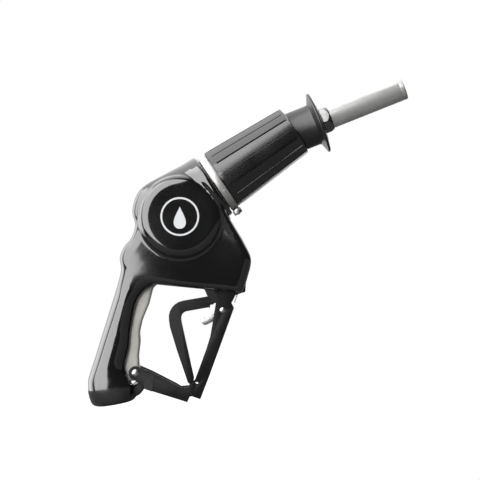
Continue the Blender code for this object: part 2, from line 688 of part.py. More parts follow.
def make_plunger(mats):
    """Trip plunger with the tongue that carries the lever, its spring and the shut-off unit."""
    head_top = LATCH_PIN_HEIGHT + 6.0
    profile = [(0.0, 8.0), (PLUNGER_RADIUS, 8.0), (PLUNGER_RADIUS, 20.0), (PLUNGER_NECK, 20.0),
               (PLUNGER_NECK, 38.0), (PLUNGER_RADIUS, 38.0), (PLUNGER_RADIUS, head_top), (0.0, head_top)]
    plunger = add_object("trip_plunger", turned(profile, 20), ON_PLUNGER, mats["steel"])
    width = 4.3
    outline = [(-width, 9.0)] + arc((0.0, 0.0), width, 180.0, 360.0, 8) + [(width, 9.0)]
    tongue = add_object("plunger_tongue", slab(outline, -TONGUE_HALF_WIDTH, TONGUE_HALF_WIDTH), ON_PLUNGER)
    join(plunger, tongue)
    hinge_hole = across_tool("tongue_hole", HINGE, LEVER_PIN_RADIUS + 0.2)
    notch = add_object("plunger_notch", turned([(0.0, 2.6), (4.2, 6.8), (0.0, 6.8)], 16), ON_SHUTOFF)
    cut(plunger, hinge_hole, notch)
    add_object("plunger_spring", coil(4.2, 0.55, 26.3, 37.7, 5), ON_PLUNGER, mats["spring"])
    pin = [(0.0, 3.1), (PIN_RADIUS, 5.4), (PIN_RADIUS, 9.9), (PIN_PLATE_RADIUS, 9.9),
           (PIN_PLATE_RADIUS, 11.2), (0.0, 11.2)]
    add_object("shutoff_latch_pin", turned(pin, 16), ON_SHUTOFF, mats["steel"])
    add_object("shutoff_diaphragm", turned(rod(SHUTOFF_RADIUS, 11.5, 12.1), 20), ON_SHUTOFF, mats["seal"])
    add_object("shutoff_spring", coil(5.0, 0.5, 12.4, 17.6, 3), ON_SHUTOFF, mats["spring"])
    cap_bore = PIN_PLATE_RADIUS + 2.0 * GAP
    cap = [(0.0, 18.0), (cap_bore, 18.0), (cap_bore, 12.6), (SHUTOFF_RADIUS, 12.6),
           (SHUTOFF_RADIUS, 19.2), (SHUTOFF_RADIUS - 1.4, 20.6), (0.0, 20.6)]
    add_object("shutoff_cap", turned(cap, 20), ON_SHUTOFF, mats["cast"])


def lever_outline():
    eye = arc(HINGE, LEVER_EYE, 80.0, -100.0, 8)
    top_bend = arc((84.3, 72.9), 16.4, 90.0, 178.0, 6)
    leg = [(67.6, 66.0), (70.5, 41.9), (75.6, 8.2), (77.4, 6.4), (80.6, 7.0), (82.3, 11.2), (80.9, 42.0),
           (79.8, 67.5)]
    inner_bend = arc((87.0, 71.4), 7.1, 178.0, 92.0, 4)
    teeth = [(109.0, 78.5), (110.1, 77.7), (111.1, 80.8), (113.7, 80.4), (115.4, 81.6), (125.0, 81.2)]
    return eye[::-1] + [(123.0, 88.9), (115.0, 89.3)] + top_bend + leg + inner_bend + teeth


def make_lever(mats):
    place = Matrix.Translation(flat(HINGE) * MM)
    outline = [(x - HINGE[0], z - HINGE[1]) for x, z in lever_outline()]
    lever = add_object("operating_lever", slab(outline, -LEVER_HALF_WIDTH, LEVER_HALF_WIDTH), place,
                       mats["black_steel"])
    slot_half = TONGUE_HALF_WIDTH + 0.4
    slot = add_object("lever_slot", slab([(-7.2, -9.0), (9.0, -9.0), (9.0, 9.0), (-7.2, 9.0)],
                                         -slot_half, slot_half), place)
    pin_hole = across_tool("lever_pin_hole", HINGE, LEVER_PIN_RADIUS + 0.2)
    cut(lever, slot, pin_hole)
    pin = add_object("lever_pin", turned(rod(LEVER_PIN_RADIUS, -6.6, 6.6), 14),
                     placed(flat(HINGE), OUTWARD), mats["steel"])
    return lever, pin


def make_latch(mats):
    place = Matrix.Translation(flat(LATCH_PIVOT) * MM)
    eye = arc(LATCH_PIVOT, LATCH_EYE, 110.0, -110.0, 8)
    outline = eye + [(110.4, 64.9), (102.1, 61.7), (98.5, 66.5), (108.5, 68.9)]
    outline = [(x - LATCH_PIVOT[0], z - LATCH_PIVOT[1]) for x, z in outline]
    latch = add_object("hold_open_latch", slab(outline, -LATCH_HALF_WIDTH, LATCH_HALF_WIDTH), place,
                       mats["steel"])
    cut(latch, across_tool("latch_eye_hole", LATCH_PIVOT, LATCH_RIVET_RADIUS + 0.25))
    head = 3.3
    half = CHEEK_OUTER + GAP
    rivet = [(0.0, -half - 1.3), (head, -half - 1.0), (head, -half), (LATCH_RIVET_RADIUS, -half),
             (LATCH_RIVET_RADIUS, half), (head, half), (head, half + 1.0), (0.0, half + 1.3)]
    add_object("latch_rivet", turned(rivet, 16), placed(flat(LATCH_PIVOT), OUTWARD), mats["steel"])
    add_object("latch_spring", coil(3.15, 0.4, LATCH_HALF_WIDTH + GAP, CHEEK_INNER - GAP, 2.5),
               placed(flat(LATCH_PIVOT), OUTWARD), mats["spring"])


GUARD_OUTER = ((98.3, 11.8), (85.2, -9.8), (77.4, -5.4), (75.2, -5.5), (71.9, -10.4), (54.0, -1.3), (34.8, 8.7))
GUARD_INNER = ((42.1, 25.1), (64.0, 8.5), (67.7, 5.1), (75.3, 4.3), (82.7, 9.1), (99.0, 36.9), (105.6, 49.7),
               (110.9, 64.3), (117.0, 81.9), (109.7, 90.4), (108.4, 96.0))
WEB_THICKNESS = 2.0


def guard_web():
    """Strip along the guard's outer edge that joins its two cheeks."""
    outer = [(132.4, 71.1)] + list(GUARD_OUTER)
    inner = []
    for index, point in enumerate(outer):
        before = flat(outer[max(index - 1, 0)])
        after = flat(outer[min(index + 1, len(outer) - 1)])
        way = (after - before).normalized()
        inward = Vector((way.z, 0.0, -way.x))
        moved = flat(point) + inward * WEB_THICKNESS
        inner.append((moved.x, moved.z))
    return outer + inner[::-1]


def make_guard(mats):
    lower_end = arc(LOWER_RIVET, 7.0, 250.0, 62.0, 6)
    top = [underside(107.2, 0.5), underside(107.2, 9.6), underside(147.4, 9.6), underside(147.4, 1.2)]
    nose = [(137.7, 86.0), (132.0, 78.7), (133.6, 73.2)]
    outline = nose + list(GUARD_OUTER) + lower_end + list(GUARD_INNER) + top
    guard = add_object("lever_guard", slab(outline, CHEEK_INNER, CHEEK_OUTER), AT_ORIGIN, mats["black_steel"])
    near = add_object("guard_near_cheek", slab(outline, -CHEEK_OUTER, -CHEEK_INNER), AT_ORIGIN)
    web = add_object("guard_web_form", slab(guard_web(), -CHEEK_OUTER + 0.05, CHEEK_OUTER - 0.05), AT_ORIGIN)
    join(guard, web, near)
    holes = [across_tool("guard_rivet_hole_%d" % number, point, RIVET_RADIUS + 0.2)
             for number, point in enumerate(UPPER_RIVETS)]
    holes.append(across_tool("guard_lower_hole", LOWER_RIVET, RIVET_RADIUS + 0.2))
    holes.append(across_tool("guard_latch_hole", LATCH_PIVOT, LATCH_RIVET_RADIUS + 0.2))
    holes.append(across_tool("guard_tail_hole", (84.3, 6.0), 1.8))
    cut(guard, *holes)
    half = CHEEK_OUTER + GAP
    for number, point in enumerate(UPPER_RIVETS):
        add_rivet("guard_rivet_%d" % (number + 1), point, 3.0, half, 1.0, mats["steel"])
    add_rivet("guard_lower_rivet", LOWER_RIVET, 4.0, half, 1.2, mats["plated"])
    clip = [(134.9, 78.9), (135.8, 78.5), (140.0, 86.2), (139.2, 86.8)]
    add_object("plunger_clip", slab(clip, -8.0, 8.0), AT_ORIGIN, mats["steel"])


def add_rivet(name, point, head, half, height, material):
    profile = [(0.0, -half - height), (head - 0.6, -half - height), (head, -half), (RIVET_RADIUS, -half),
               (RIVET_RADIUS, half), (head, half), (head - 0.6, half + height), (0.0, half + height)]
    return add_object(name, turned(profile, 14), placed(flat(point), OUTWARD), material)


# ---- barrel, sleeve and spout -----------------------------------------------------------------------
def sleeve_radius(distance):
    share = (distance - 5.0) / (SLEEVE_END - 5.0)
    return SLEEVE_BASE_RADIUS + (SLEEVE_FRONT_RADIUS - SLEEVE_BASE_RADIUS) * share


def make_sleeve(mats):
    """Tapered sleeve with flat-bottomed grooves between its pads; rings run round local Z."""
    under_band = CLAMP_INNER - GAP
    groove_from = 9.5
    groove_to = SLEEVE_END - 2.6
    near = sleeve_radius(groove_from)
    far = sleeve_radius(groove_to)
    rows = [(SLEEVE_START, under_band, 0.0), (4.4, under_band, 0.0), (5.0, sleeve_radius(5.0), 0.0),
            (groove_from, near, 0.0), (groove_from + 0.3, near, 1.0), (groove_to - 0.3, far, 1.0),
            (groove_to, far, 0.0), (SLEEVE_END, sleeve_radius(SLEEVE_END), 0.0)]
    inner = [(SLEEVE_END, sleeve_radius(SLEEVE_END) - SLEEVE_WALL), (SLEEVE_START, SPIGOT_RADIUS + 1.1)]
    mesh_data = bmesh.new()
    rings = []
    pitch = TURN / SLEEVE_PADS
    half_groove = 0.5 * GROOVE_SHARE * pitch
    for distance, radius, groove in rows:
        ring = []
        for number in range(SLEEVE_PADS):
            middle = pitch * (number + 0.5)
            for angle, dip in ((middle - 1.5 * half_groove, 0.0), (middle - half_groove, 1.0),
                               (middle + half_groove, 1.0), (middle + 1.5 * half_groove, 0.0)):
                reach = radius - GROOVE_DEPTH * groove * dip
                ring.append(mesh_data.verts.new((reach * math.cos(angle), reach * math.sin(angle), distance)))
        rings.append(ring)
    for distance, radius in inner:
        ring = []
        for number in range(SLEEVE_PADS):
            middle = pitch * (number + 0.5)
            for offset in (-1.5, -1.0, 1.0, 1.5):
                angle = middle + offset * half_groove
                ring.append(mesh_data.verts.new((radius * math.cos(angle), radius * math.sin(angle), distance)))
        rings.append(ring)
    for index, ring in enumerate(rings):
        ring_faces(mesh_data, ring, rings[(index + 1) % len(rings)])
    return add_object("vapour_sleeve", mesh_data, ON_BARREL, mats["rubber"])


def make_clamp(mats):
    strap = turned(pipe(CLAMP_INNER, CLAMP_OUTER, -CLAMP_HALF_WIDTH, CLAMP_HALF_WIDTH), 40)
    band = add_object("clamp_band", strap, ON_BARREL, mats["steel"])
    low = -CLAMP_OUTER - 5.4
    housing = [(low, -4.4), (low, 4.4), (-CLAMP_OUTER + 0.6, 4.4), (-CLAMP_OUTER + 0.6, -4.4)]
    block = add_object("clamp_housing_form", slab([(-x, z) for x, z in housing], -6.5, 6.5), ON_BARREL)
    join(band, block)
    centre = flat(BARREL_CENTRE) + Vector((BARREL_WAY.z, 0.0, -BARREL_WAY.x)) * (CLAMP_OUTER + 2.8)
    on_screw = placed(centre, OUTWARD)
    cut(band, cylinder("clamp_screw_hole", on_screw, 2.2, -12.0, 12.0, 16))
    profile = [(0.0, -8.6), (1.9, -8.6), (1.9, 7.0), (3.3, 7.0), (3.3, 10.6), (0.0, 10.6)]
    add_object("clamp_screw", turned(profile, 14), on_screw, mats["steel"])


def spout_path(offset, start, end):
    """Points along the barrel axis, round the bend and out along the spout, moved down by offset."""
    radius = 60.0
    half_turn = math.radians(BARREL_TILT - SPOUT_TILT) * 0.5
    tangent = radius * math.tan(half_turn)
    down = Vector((BARREL_WAY.z, 0.0, -BARREL_WAY.x))
    begin = flat(BARREL_CENTRE) + BARREL_WAY * start
    entry = BEND - BARREL_WAY * tangent
    centre = entry + down * radius
    points = [begin + down * offset]
    steps = 4
    for step in range(steps + 1):
        tilt = BARREL_TILT + (SPOUT_TILT - BARREL_TILT) * step / steps
        way = along(tilt)
        out = Vector((-way.z, 0.0, way.x))
        points.append(centre + out * (radius - offset))
    lower = Vector((SPOUT_WAY.z, 0.0, -SPOUT_WAY.x))
    points.append(BEND + SPOUT_WAY * end + lower * offset)
    return points


def make_spout(mats):
    tip = SPOUT_LENGTH - FERRULE_LENGTH
    tube = swept(spout_path(0.0, SPOUT_START, tip - GAP), SPOUT_RADIUS, SPOUT_BORE, 24)
    spout = add_object("spout_tube", tube, AT_ORIGIN, mats["spout"])
    lower = Vector((SPOUT_WAY.z, 0.0, -SPOUT_WAY.x))
    port_place = placed(BEND + SPOUT_WAY * PORT_DISTANCE, lower)
    port = add_object("spout_port_tool", turned(rod(2.0, SPOUT_BORE - 3.0, SPOUT_RADIUS + 3.0), 14), port_place)
    for vertex in port.data.vertices:
        vertex.co.x *= 1.5
    cut(spout, port)
    lip = SPOUT_BORE - 0.9
    ferrule = [(lip, tip - 5.0), (SPOUT_BORE - GAP, tip - 5.0), (SPOUT_BORE - GAP, tip), (SPOUT_RADIUS, tip),
               (SPOUT_RADIUS, SPOUT_LENGTH - 0.8), (SPOUT_RADIUS - 0.8, SPOUT_LENGTH), (lip, SPOUT_LENGTH)]
    add_object("spout_ferrule", turned(ferrule, 24), ON_SPOUT, mats["steel"])
    add_object("vent_tube", swept(spout_path(VENT_DROP, SPOUT_START + 3.0, PORT_DISTANCE - 3.0), VENT_RADIUS,
                                  VENT_RADIUS - 0.7, 8), AT_ORIGIN, mats["steel"])
    nut = hexagon(NUT_ACROSS, NUT_START, NUT_END, SPOUT_RADIUS + GAP, 1.0)
    add_object("spout_nut", nut, ON_SPOUT, mats["plated"])


def make_adapter(mats):
    """Adapter that holds the spout in the casting's nose, with the check valve behind it."""
    thread = NOSE_BORE - GAP
    grip = SPOUT_RADIUS + GAP
    head = NOSE_RADIUS - 1.8
    sleeve = grip + 3.45
    ledge = SPOUT_RADIUS - 1.85
    profile = [(ledge, ADAPTER_START), (thread, ADAPTER_START), (thread, NOSE_END + 1.6),
               (head, NOSE_END + 1.6), (head, NOSE_END + 7.6), (sleeve, NOSE_END + 7.6),
               (sleeve, ADAPTER_END), (grip, ADAPTER_END), (grip, SPOUT_START - GAP),
               (ledge, SPOUT_START - GAP)]
    add_object("spout_adapter", turned(profile, 24), ON_BARREL, mats["brass"])
    add_object("adapter_gasket", turned(pipe(NOSE_BORE, head - 0.2, NOSE_END + GAP, NOSE_END + 1.3), 24),
               ON_BARREL, mats["seal"])
    seat = CHECK_SEAT + GAP
    rim = NOSE_BORE - 1.6
    poppet = [(0.0, seat), (rim, seat), (rim, seat + 2.4), (rim - 2.5, seat + 3.4), (2.4, seat + 3.8),
              (2.4, seat + 9.0), (0.0, seat + 9.0)]
    add_object("check_valve_poppet", turned(poppet, 20), ON_BARREL, mats["acetal"])
    add_object("check_valve_spring", coil(NOSE_BORE - 2.4, 0.55, seat + 4.2, ADAPTER_START - GAP, 2.5),
               ON_BARREL, mats["spring"])
    add_object("inlet_gasket", turned(pipe(9.0, INLET_BORE_RADIUS - GAP, INLET_DEPTH - 2.4, INLET_DEPTH - GAP), 24),
               AT_ORIGIN, mats["seal"])


def make_face_seal(mats):
    """Collar with the thin splash flange, which slides back along the spout."""
    front = FLANGE_DISTANCE + 3.6
    profile = [(COLLAR_BORE, COLLAR_START), (COLLAR_RADIUS, COLLAR_START), (COLLAR_RADIUS, FLANGE_DISTANCE - 4.2),
               (FLANGE_RADIUS - 2.0, FLANGE_DISTANCE - 1.4), (FLANGE_RADIUS, FLANGE_DISTANCE - 0.6),
               (FLANGE_RADIUS, FLANGE_DISTANCE + 1.2), (FLANGE_RADIUS - 1.2, FLANGE_DISTANCE + 1.9),
               (22.0, front - 0.6), (19.0, front), (COLLAR_BORE, front)]
    add_object("face_seal_collar", turned(profile, 32), ON_SPOUT, mats["rubber"])
    spring = coil(SEAL_SPRING_RADIUS, 0.9, NOSE_END + 8.4, BEND_DISTANCE - 3.0, 5, SEAL_SPRING_RADIUS + 0.8)
    add_object("face_seal_spring", spring, ON_BARREL, mats["spring"])


def build():
    clear_scene()
    mats = make_finishes()
    make_cover(mats)
    make_casting(mats)
    make_vapour_valve(mats)
    make_main_valve(mats)
    make_plunger(mats)
    make_lever(mats)
    make_latch(mats)
    make_guard(mats)
    make_sleeve(mats)
    make_clamp(mats)
    make_spout(mats)
    make_adapter(mats)
    make_face_seal(mats)


build()
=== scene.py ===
"""Looks of the automatic fuel nozzle: smooth scuff cover, sleeve, spout, guard, finishes and studio.

Sizes are in millimetres in the CAD frame, and MM turns them into Blender's metres.
"""
import json
import math

import bmesh
import bpy
from mathutils import Matrix, Vector


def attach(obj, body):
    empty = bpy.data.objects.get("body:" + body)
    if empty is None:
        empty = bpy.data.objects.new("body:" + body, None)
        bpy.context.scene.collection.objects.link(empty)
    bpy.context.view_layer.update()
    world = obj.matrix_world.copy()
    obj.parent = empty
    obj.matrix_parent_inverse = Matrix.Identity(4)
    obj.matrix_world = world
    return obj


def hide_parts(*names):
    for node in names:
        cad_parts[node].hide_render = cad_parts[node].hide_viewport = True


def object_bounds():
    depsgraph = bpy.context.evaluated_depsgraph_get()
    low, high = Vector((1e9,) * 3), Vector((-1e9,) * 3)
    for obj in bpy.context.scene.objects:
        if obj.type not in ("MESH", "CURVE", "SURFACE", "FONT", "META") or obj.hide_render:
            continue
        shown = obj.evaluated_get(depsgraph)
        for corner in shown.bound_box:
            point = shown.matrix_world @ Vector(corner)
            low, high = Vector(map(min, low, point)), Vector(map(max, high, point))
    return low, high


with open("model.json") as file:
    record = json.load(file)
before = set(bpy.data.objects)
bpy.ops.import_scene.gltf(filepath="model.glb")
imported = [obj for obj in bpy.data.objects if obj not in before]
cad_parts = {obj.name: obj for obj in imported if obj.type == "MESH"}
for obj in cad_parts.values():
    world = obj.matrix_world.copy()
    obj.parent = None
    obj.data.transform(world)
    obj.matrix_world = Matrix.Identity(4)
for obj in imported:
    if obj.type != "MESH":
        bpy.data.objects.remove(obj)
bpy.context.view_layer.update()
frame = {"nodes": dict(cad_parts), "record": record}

MM = 0.001
TURN = 2.0 * math.pi
SAME_POINT = 1e-6                   # metres; corners nearer than this are merged

# ---- lines shared with the CAD frame ---------------------------------------------------------------------
BARREL_CENTRE = (139.8, 199.6)
BARREL_TILT = 24.0
SPOUT_TILT = 11.7
BEND_DISTANCE = 85.7
BOSS_CENTRE = (97.4, 172.1)
LOWER_RIVET = (26.3, 27.0)
UPPER_RIVETS = ((121.5, 98.7), (142.0, 93.4))
LATCH_PIVOT = (122.6, 73.5)
VIEW_ROLL = 10.0

# ---- scuff cover -----------------------------------------------------------------------------------------
COVER_WALL = 2.6
COVER_VOXEL = 1.1
# From the inlet to the barrel: back point (x, z), front point (x, z), half width, corner radius.
COVER_SECTIONS = (
    ((-17.1, 0.0), (17.7, 0.0), 17.0, 15.6),
    ((-22.0, 2.6), (21.4, 2.4), 18.4, 16.0),
    ((-24.0, 10.0), (23.0, 9.5), 19.0, 15.0),
    ((-23.9, 20.8), (22.2, 19.0), 19.0, 14.0),
    ((-21.5, 30.5), (20.0, 27.0), 18.4, 13.0),
    ((-11.5, 49.5), (18.6, 34.0), 17.4, 12.0),
    ((-2.6, 66.9), (26.3, 52.0), 17.0, 12.0),
    ((6.1, 83.7), (31.5, 70.6), 17.0, 12.0),
    ((18.0, 106.7), (41.0, 94.8), 18.2, 12.0),
    ((24.1, 118.5), (50.5, 105.2), 19.4, 12.0),
    ((29.4, 131.0), (62.0, 109.8), 20.6, 11.0),
    ((30.5, 143.0), (78.0, 105.4), 21.6, 10.0),
    ((36.5, 152.5), (94.0, 101.0), 22.4, 9.5),
    ((45.5, 160.5), (111.0, 96.3), 22.8, 9.0),
    ((51.2, 172.0), (129.0, 91.4), 23.0, 9.0),
    ((50.8, 186.0), (145.2, 87.0), 23.2, 9.0),
    ((57.8, 201.0), (152.5, 101.0), 23.4, 9.5),
    ((69.0, 209.8), (159.4, 118.0), 24.2, 11.0),
    ((92.0, 218.1), (156.5, 134.5), 26.4, 17.0),
    ((106.0, 223.1), (151.0, 151.0), 30.0, 26.0),
)
CRISP_FRONT = (0, 10, 15)          # sections where the front outline turns a corner
BARREL_ROWS = ((-9.0, 34.9), (-5.6, 34.2), (-4.6, 32.2))
HANDLE_CROWN = 3.0
BODY_CROWN = 0.6
BOSS_RADIUS = 41.0
BOSS_HALF_WIDTH = 33.0
BOSS_SHOULDER = 9.0
RIB_HALF_WIDTH = 8.2
RIB_SLOT = ((44.4, 11.5), (46.2, 17.0), (44.7, 24.2), (45.9, 34.3), (50.4, 49.0), (50.9, 57.0),
            (55.8, 68.8), (64.8, 82.8), (72.0, 98.4), (80.0, 102.5), (62.0, 122.0), (40.0, 112.0),
            (26.0, 88.0), (14.0, 60.0), (10.0, 34.0), (13.0, 21.5), (24.0, 19.2))
GUARD_END_SLOT = ((17.4, 19.0), (19.0, 34.6), (34.0, 38.0), (44.0, 20.0), (30.0, 2.0), (23.6, 13.0))
UNDERSIDE = ((62.0, 109.8), (145.2, 87.0))
GUARD_POCKET = 12.4
GUARD_STEP = ((36.5, 25.2), (44.5, 21.8), (38.9, 6.2), (31.6, 10.3))
LATCH_TAB = ((98.4, 67.1), (102.2, 68.9), (106.5, 68.5), (111.9, 69.4), (113.5, 67.7),
             (112.5, 64.2), (104.2, 61.7), (101.0, 62.1))
LATCH_TAB_HOLE = (104.8, 66.8)
END_LUG = ((21.2, 3.6), (26.0, 4.6), (31.0, 8.6), (33.2, 13.4), (32.4, 17.6), (30.2, 19.4), (23.2, 18.4),
           (21.2, 14.6))


# ---- directions ------------------------------------------------------------------------------------------
def along(tilt):
    """Direction in the XZ plane, tilt degrees above +X."""
    angle = math.radians(tilt)
    return Vector((math.cos(angle), 0.0, math.sin(angle)))


def flat(point, y=0.0):
    return Vector((point[0], y, point[1]))


def placed(origin, way):
    """Frame at a point in millimetres, with its local Z along way and its Y kept near the world's."""
    z = way.normalized()
    y = Vector((0.0, 1.0, 0.0))
    if abs(z.dot(y)) > 0.9:
        y = Vector((0.0, 0.0, 1.0))
    x = y.cross(z).normalized()
    turn = Matrix((x, z.cross(x), z)).transposed().to_4x4()
    return Matrix.Translation(origin * MM) @ turn


BARREL_WAY = along(BARREL_TILT)
SPOUT_WAY = along(SPOUT_TILT)
NEAR = Vector((0.0, -1.0, 0.0))
BEND = flat(BARREL_CENTRE) + BARREL_WAY * BEND_DISTANCE
HERE = Matrix.Identity(4)
ON_BARREL = placed(flat(BARREL_CENTRE), BARREL_WAY)
ON_SPOUT = placed(BEND, SPOUT_WAY)
ON_BOSS = placed(flat(BOSS_CENTRE), NEAR)
VIEW_RIGHT = along(-VIEW_ROLL)
VIEW_UP = along(90.0 - VIEW_ROLL)


# ---- working by hand -------------------------------------------------------------------------------------
def put_down():
    """Leave edit mode with nothing selected."""
    if bpy.context.object and bpy.context.object.mode != "OBJECT":
        bpy.ops.object.mode_set(mode="OBJECT")
    bpy.ops.object.select_all(action="DESELECT")


def pick_up(piece):
    put_down()
    piece.select_set(True)
    bpy.context.view_layer.objects.active = piece


def edit_all(piece):
    pick_up(piece)
    bpy.ops.object.mode_set(mode="EDIT")
    bpy.ops.mesh.select_all(action="SELECT")


def tidy_surface(piece):
    """Merge doubles and turn every face outwards."""
    edit_all(piece)
    bpy.ops.mesh.remove_doubles(threshold=SAME_POINT)
    bpy.ops.mesh.normals_make_consistent(inside=False)
    put_down()


def settle(piece, place):
    """Put the piece in its place and apply it, so that the place is in the mesh."""
    pick_up(piece)
    piece.matrix_world = place
    bpy.ops.object.transform_apply(location=True, rotation=True, scale=True)
    put_down()


def drawn_line(name, points):
    """Chain of edges through points in millimetres, drawn by extruding one vertex."""
    put_down()
    bpy.ops.mesh.primitive_plane_add(size=MM)
    piece = bpy.context.object
    piece.name = name
    bpy.ops.object.mode_set(mode="EDIT")
    bpy.ops.mesh.select_all(action="SELECT")
    bpy.ops.mesh.merge(type="CENTER")
    bpy.ops.transform.translate(value=points[0] * MM)
    for before, after in zip(points, points[1:]):
        bpy.ops.mesh.extrude_vertices_move(TRANSFORM_OT_translate={"value": (after - before) * MM})
    return piece


def spun(name, profile, place, steps=96):
    """Turned piece: a profile of (radius, height), drawn and spun about the place's Z."""
    piece = drawn_line(name, [Vector((radius, 0.0, height)) for radius, height in profile])
    bpy.ops.mesh.select_all(action="SELECT")
    bpy.ops.mesh.spin(steps=steps, angle=TURN, center=(0.0, 0.0, 0.0), axis=(0.0, 0.0, 1.0))
    tidy_surface(piece)
    settle(piece, place)
    return piece


def plate(name, outline, low, high, place=HERE):
    """Prism of an outline in the XZ plane from y = low to y = high."""
    piece = drawn_line(name, [flat(point, low) for point in outline])
    bpy.ops.mesh.select_all(action="SELECT")
    bpy.ops.mesh.edge_face_add()
    bpy.ops.mesh.extrude_region_move(TRANSFORM_OT_translate={"value": (0.0, (high - low) * MM, 0.0)})
    tidy_surface(piece)
    settle(piece, place)
    return piece


def block(name, size, place, offset=(0.0, 0.0, 0.0)):
    """Box of a size in millimetres, round a point of the place."""
    put_down()
    bpy.ops.mesh.primitive_cube_add(size=1.0)
    piece = bpy.context.object
    piece.name = name
    bpy.ops.object.mode_set(mode="EDIT")
    bpy.ops.transform.resize(value=Vector(size) * MM)
    bpy.ops.transform.translate(value=Vector(offset) * MM)
    settle(piece, place)
    return piece


def arc(centre, radius, start, end, steps):
    points = []
    for step in range(steps + 1):
        angle = math.radians(start + (end - start) * step / steps)
        points.append((centre[0] + radius * math.cos(angle), centre[1] + radius * math.sin(angle)))
    return points


def applied(piece, kind, **settings):
    """Add a modifier with these settings and apply it."""
    pick_up(piece)
    modifier = piece.modifiers.new(kind.lower(), kind)
    for key, value in settings.items():
        setattr(modifier, key, value)
    bpy.ops.object.modifier_apply(modifier=modifier.name)
    put_down()


def combined(piece, others, operation):
    """Exact Boolean of a piece with others, which are then removed."""
    for other in others:
        applied(piece, "BOOLEAN", operation=operation, solver="EXACT", object=other)
        bpy.data.objects.remove(other, do_unlink=True)


def rounded(piece, width, segments=3, angle=35.0):
    """Bevel the edges that are sharper than angle."""
    applied(piece, "BEVEL", width=width * MM, segments=segments, limit_method="ANGLE",
            angle_limit=math.radians(angle), use_clamp_overlap=True, harden_normals=False)


def smooth_shaded(piece, angle=40.0):
    pick_up(piece)
    bpy.ops.object.shade_smooth_by_angle(angle=math.radians(angle))
    put_down()


def copied(node, name, flatness=0.6):
    """Working copy of a CAD node with its doubles merged and its flat faces made whole."""
    piece = bpy.data.objects.new(name, frame["nodes"][node].data.copy())
    bpy.context.scene.collection.objects.link(piece)
    edit_all(piece)
    bpy.ops.mesh.remove_doubles(threshold=2.0 * SAME_POINT)
    bpy.ops.mesh.dissolve_limited(angle_limit=math.radians(flatness))
    put_down()
    return piece


def fitted(piece, body, material, slot, *nodes, angle=40.0):
    """Finish a piece: material, shading, the body it rides on and the CAD nodes it stands for."""
    piece.data.materials.clear()
    piece.data.materials.append(material)
    smooth_shaded(piece, angle)
    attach(piece, body)
    if nodes:
        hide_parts(*nodes)


# ---- finishes --------------------------------------------------------------------------------------------
class Finish:
    """Procedural material that is built node by node round one Principled shader."""

    def __init__(self, name, colour, roughness, metallic=0.0):
        self.material = bpy.data.materials.new(name)
        self.material.use_nodes = True
        self.tree = self.material.node_tree
        self.shader = self.tree.nodes["Principled BSDF"]
        self.shader.inputs["Base Color"].default_value = (*colour, 1.0)
        self.shader.inputs["Roughness"].default_value = roughness
        self.shader.inputs["Metallic"].default_value = metallic
        self.place = self.add("ShaderNodeTexCoord").outputs["Object"]

    def add(self, kind, **inputs):
        node = self.tree.nodes.new(kind)
        for key, value in inputs.items():
            node.inputs[key].default_value = value
        return node

    def link(self, output, target):
        self.tree.links.new(output, target)

    def turned_place(self, tilt=0.0, stretch=(1.0, 1.0, 1.0)):
        """Object coordinates turned so that X runs along a tilted axis, then stretched."""
        turn = self.add("ShaderNodeMapping", Rotation=(0.0, math.radians(tilt), 0.0))
        self.link(self.place, turn.inputs["Vector"])
        scale = self.add("ShaderNodeMapping", Scale=stretch)
        self.link(turn.outputs["Vector"], scale.inputs["Vector"])
        return scale.outputs["Vector"]

    def noise(self, scale, detail=3.0, place=None, roughness=0.5):
        node = self.add("ShaderNodeTexNoise", Scale=scale, Detail=detail, Roughness=roughness)
        self.link(place or self.place, node.inputs["Vector"])
        return node.outputs["Fac"]

    def ranged(self, value, low, high, to_low, to_high):
        node = self.add("ShaderNodeMapRange")
        node.inputs["From Min"].default_value = low
        node.inputs["From Max"].default_value = high
        node.inputs["To Min"].default_value = to_low
        node.inputs["To Max"].default_value = to_high
        self.link(value, node.inputs["Value"])
        return node.outputs["Result"]

    def mixed(self, share, one, two):
        node = self.tree.nodes.new("ShaderNodeMix")
        node.data_type = "RGBA"
        node.inputs["A"].default_value = (*one, 1.0)
        node.inputs["B"].default_value = (*two, 1.0)
        self.link(share, node.inputs["Factor"])
        return node.outputs["Result"]

    def colour(self, output):
        self.link(output, self.shader.inputs["Base Color"])

    def rough(self, output):
        self.link(output, self.shader.inputs["Roughness"])

    def bumps(self, *layers):
        """Stack bump layers of (height output, strength, depth in millimetres)."""
        normal = None
        for height, strength, depth in layers:
            node = self.add("ShaderNodeBump", Strength=strength, Distance=depth * MM)
            self.link(height, node.inputs["Height"])
            if normal:
                self.link(normal, node.inputs["Normal"])
            normal = node.outputs["Normal"]
        self.link(normal, self.shader.inputs["Normal"])


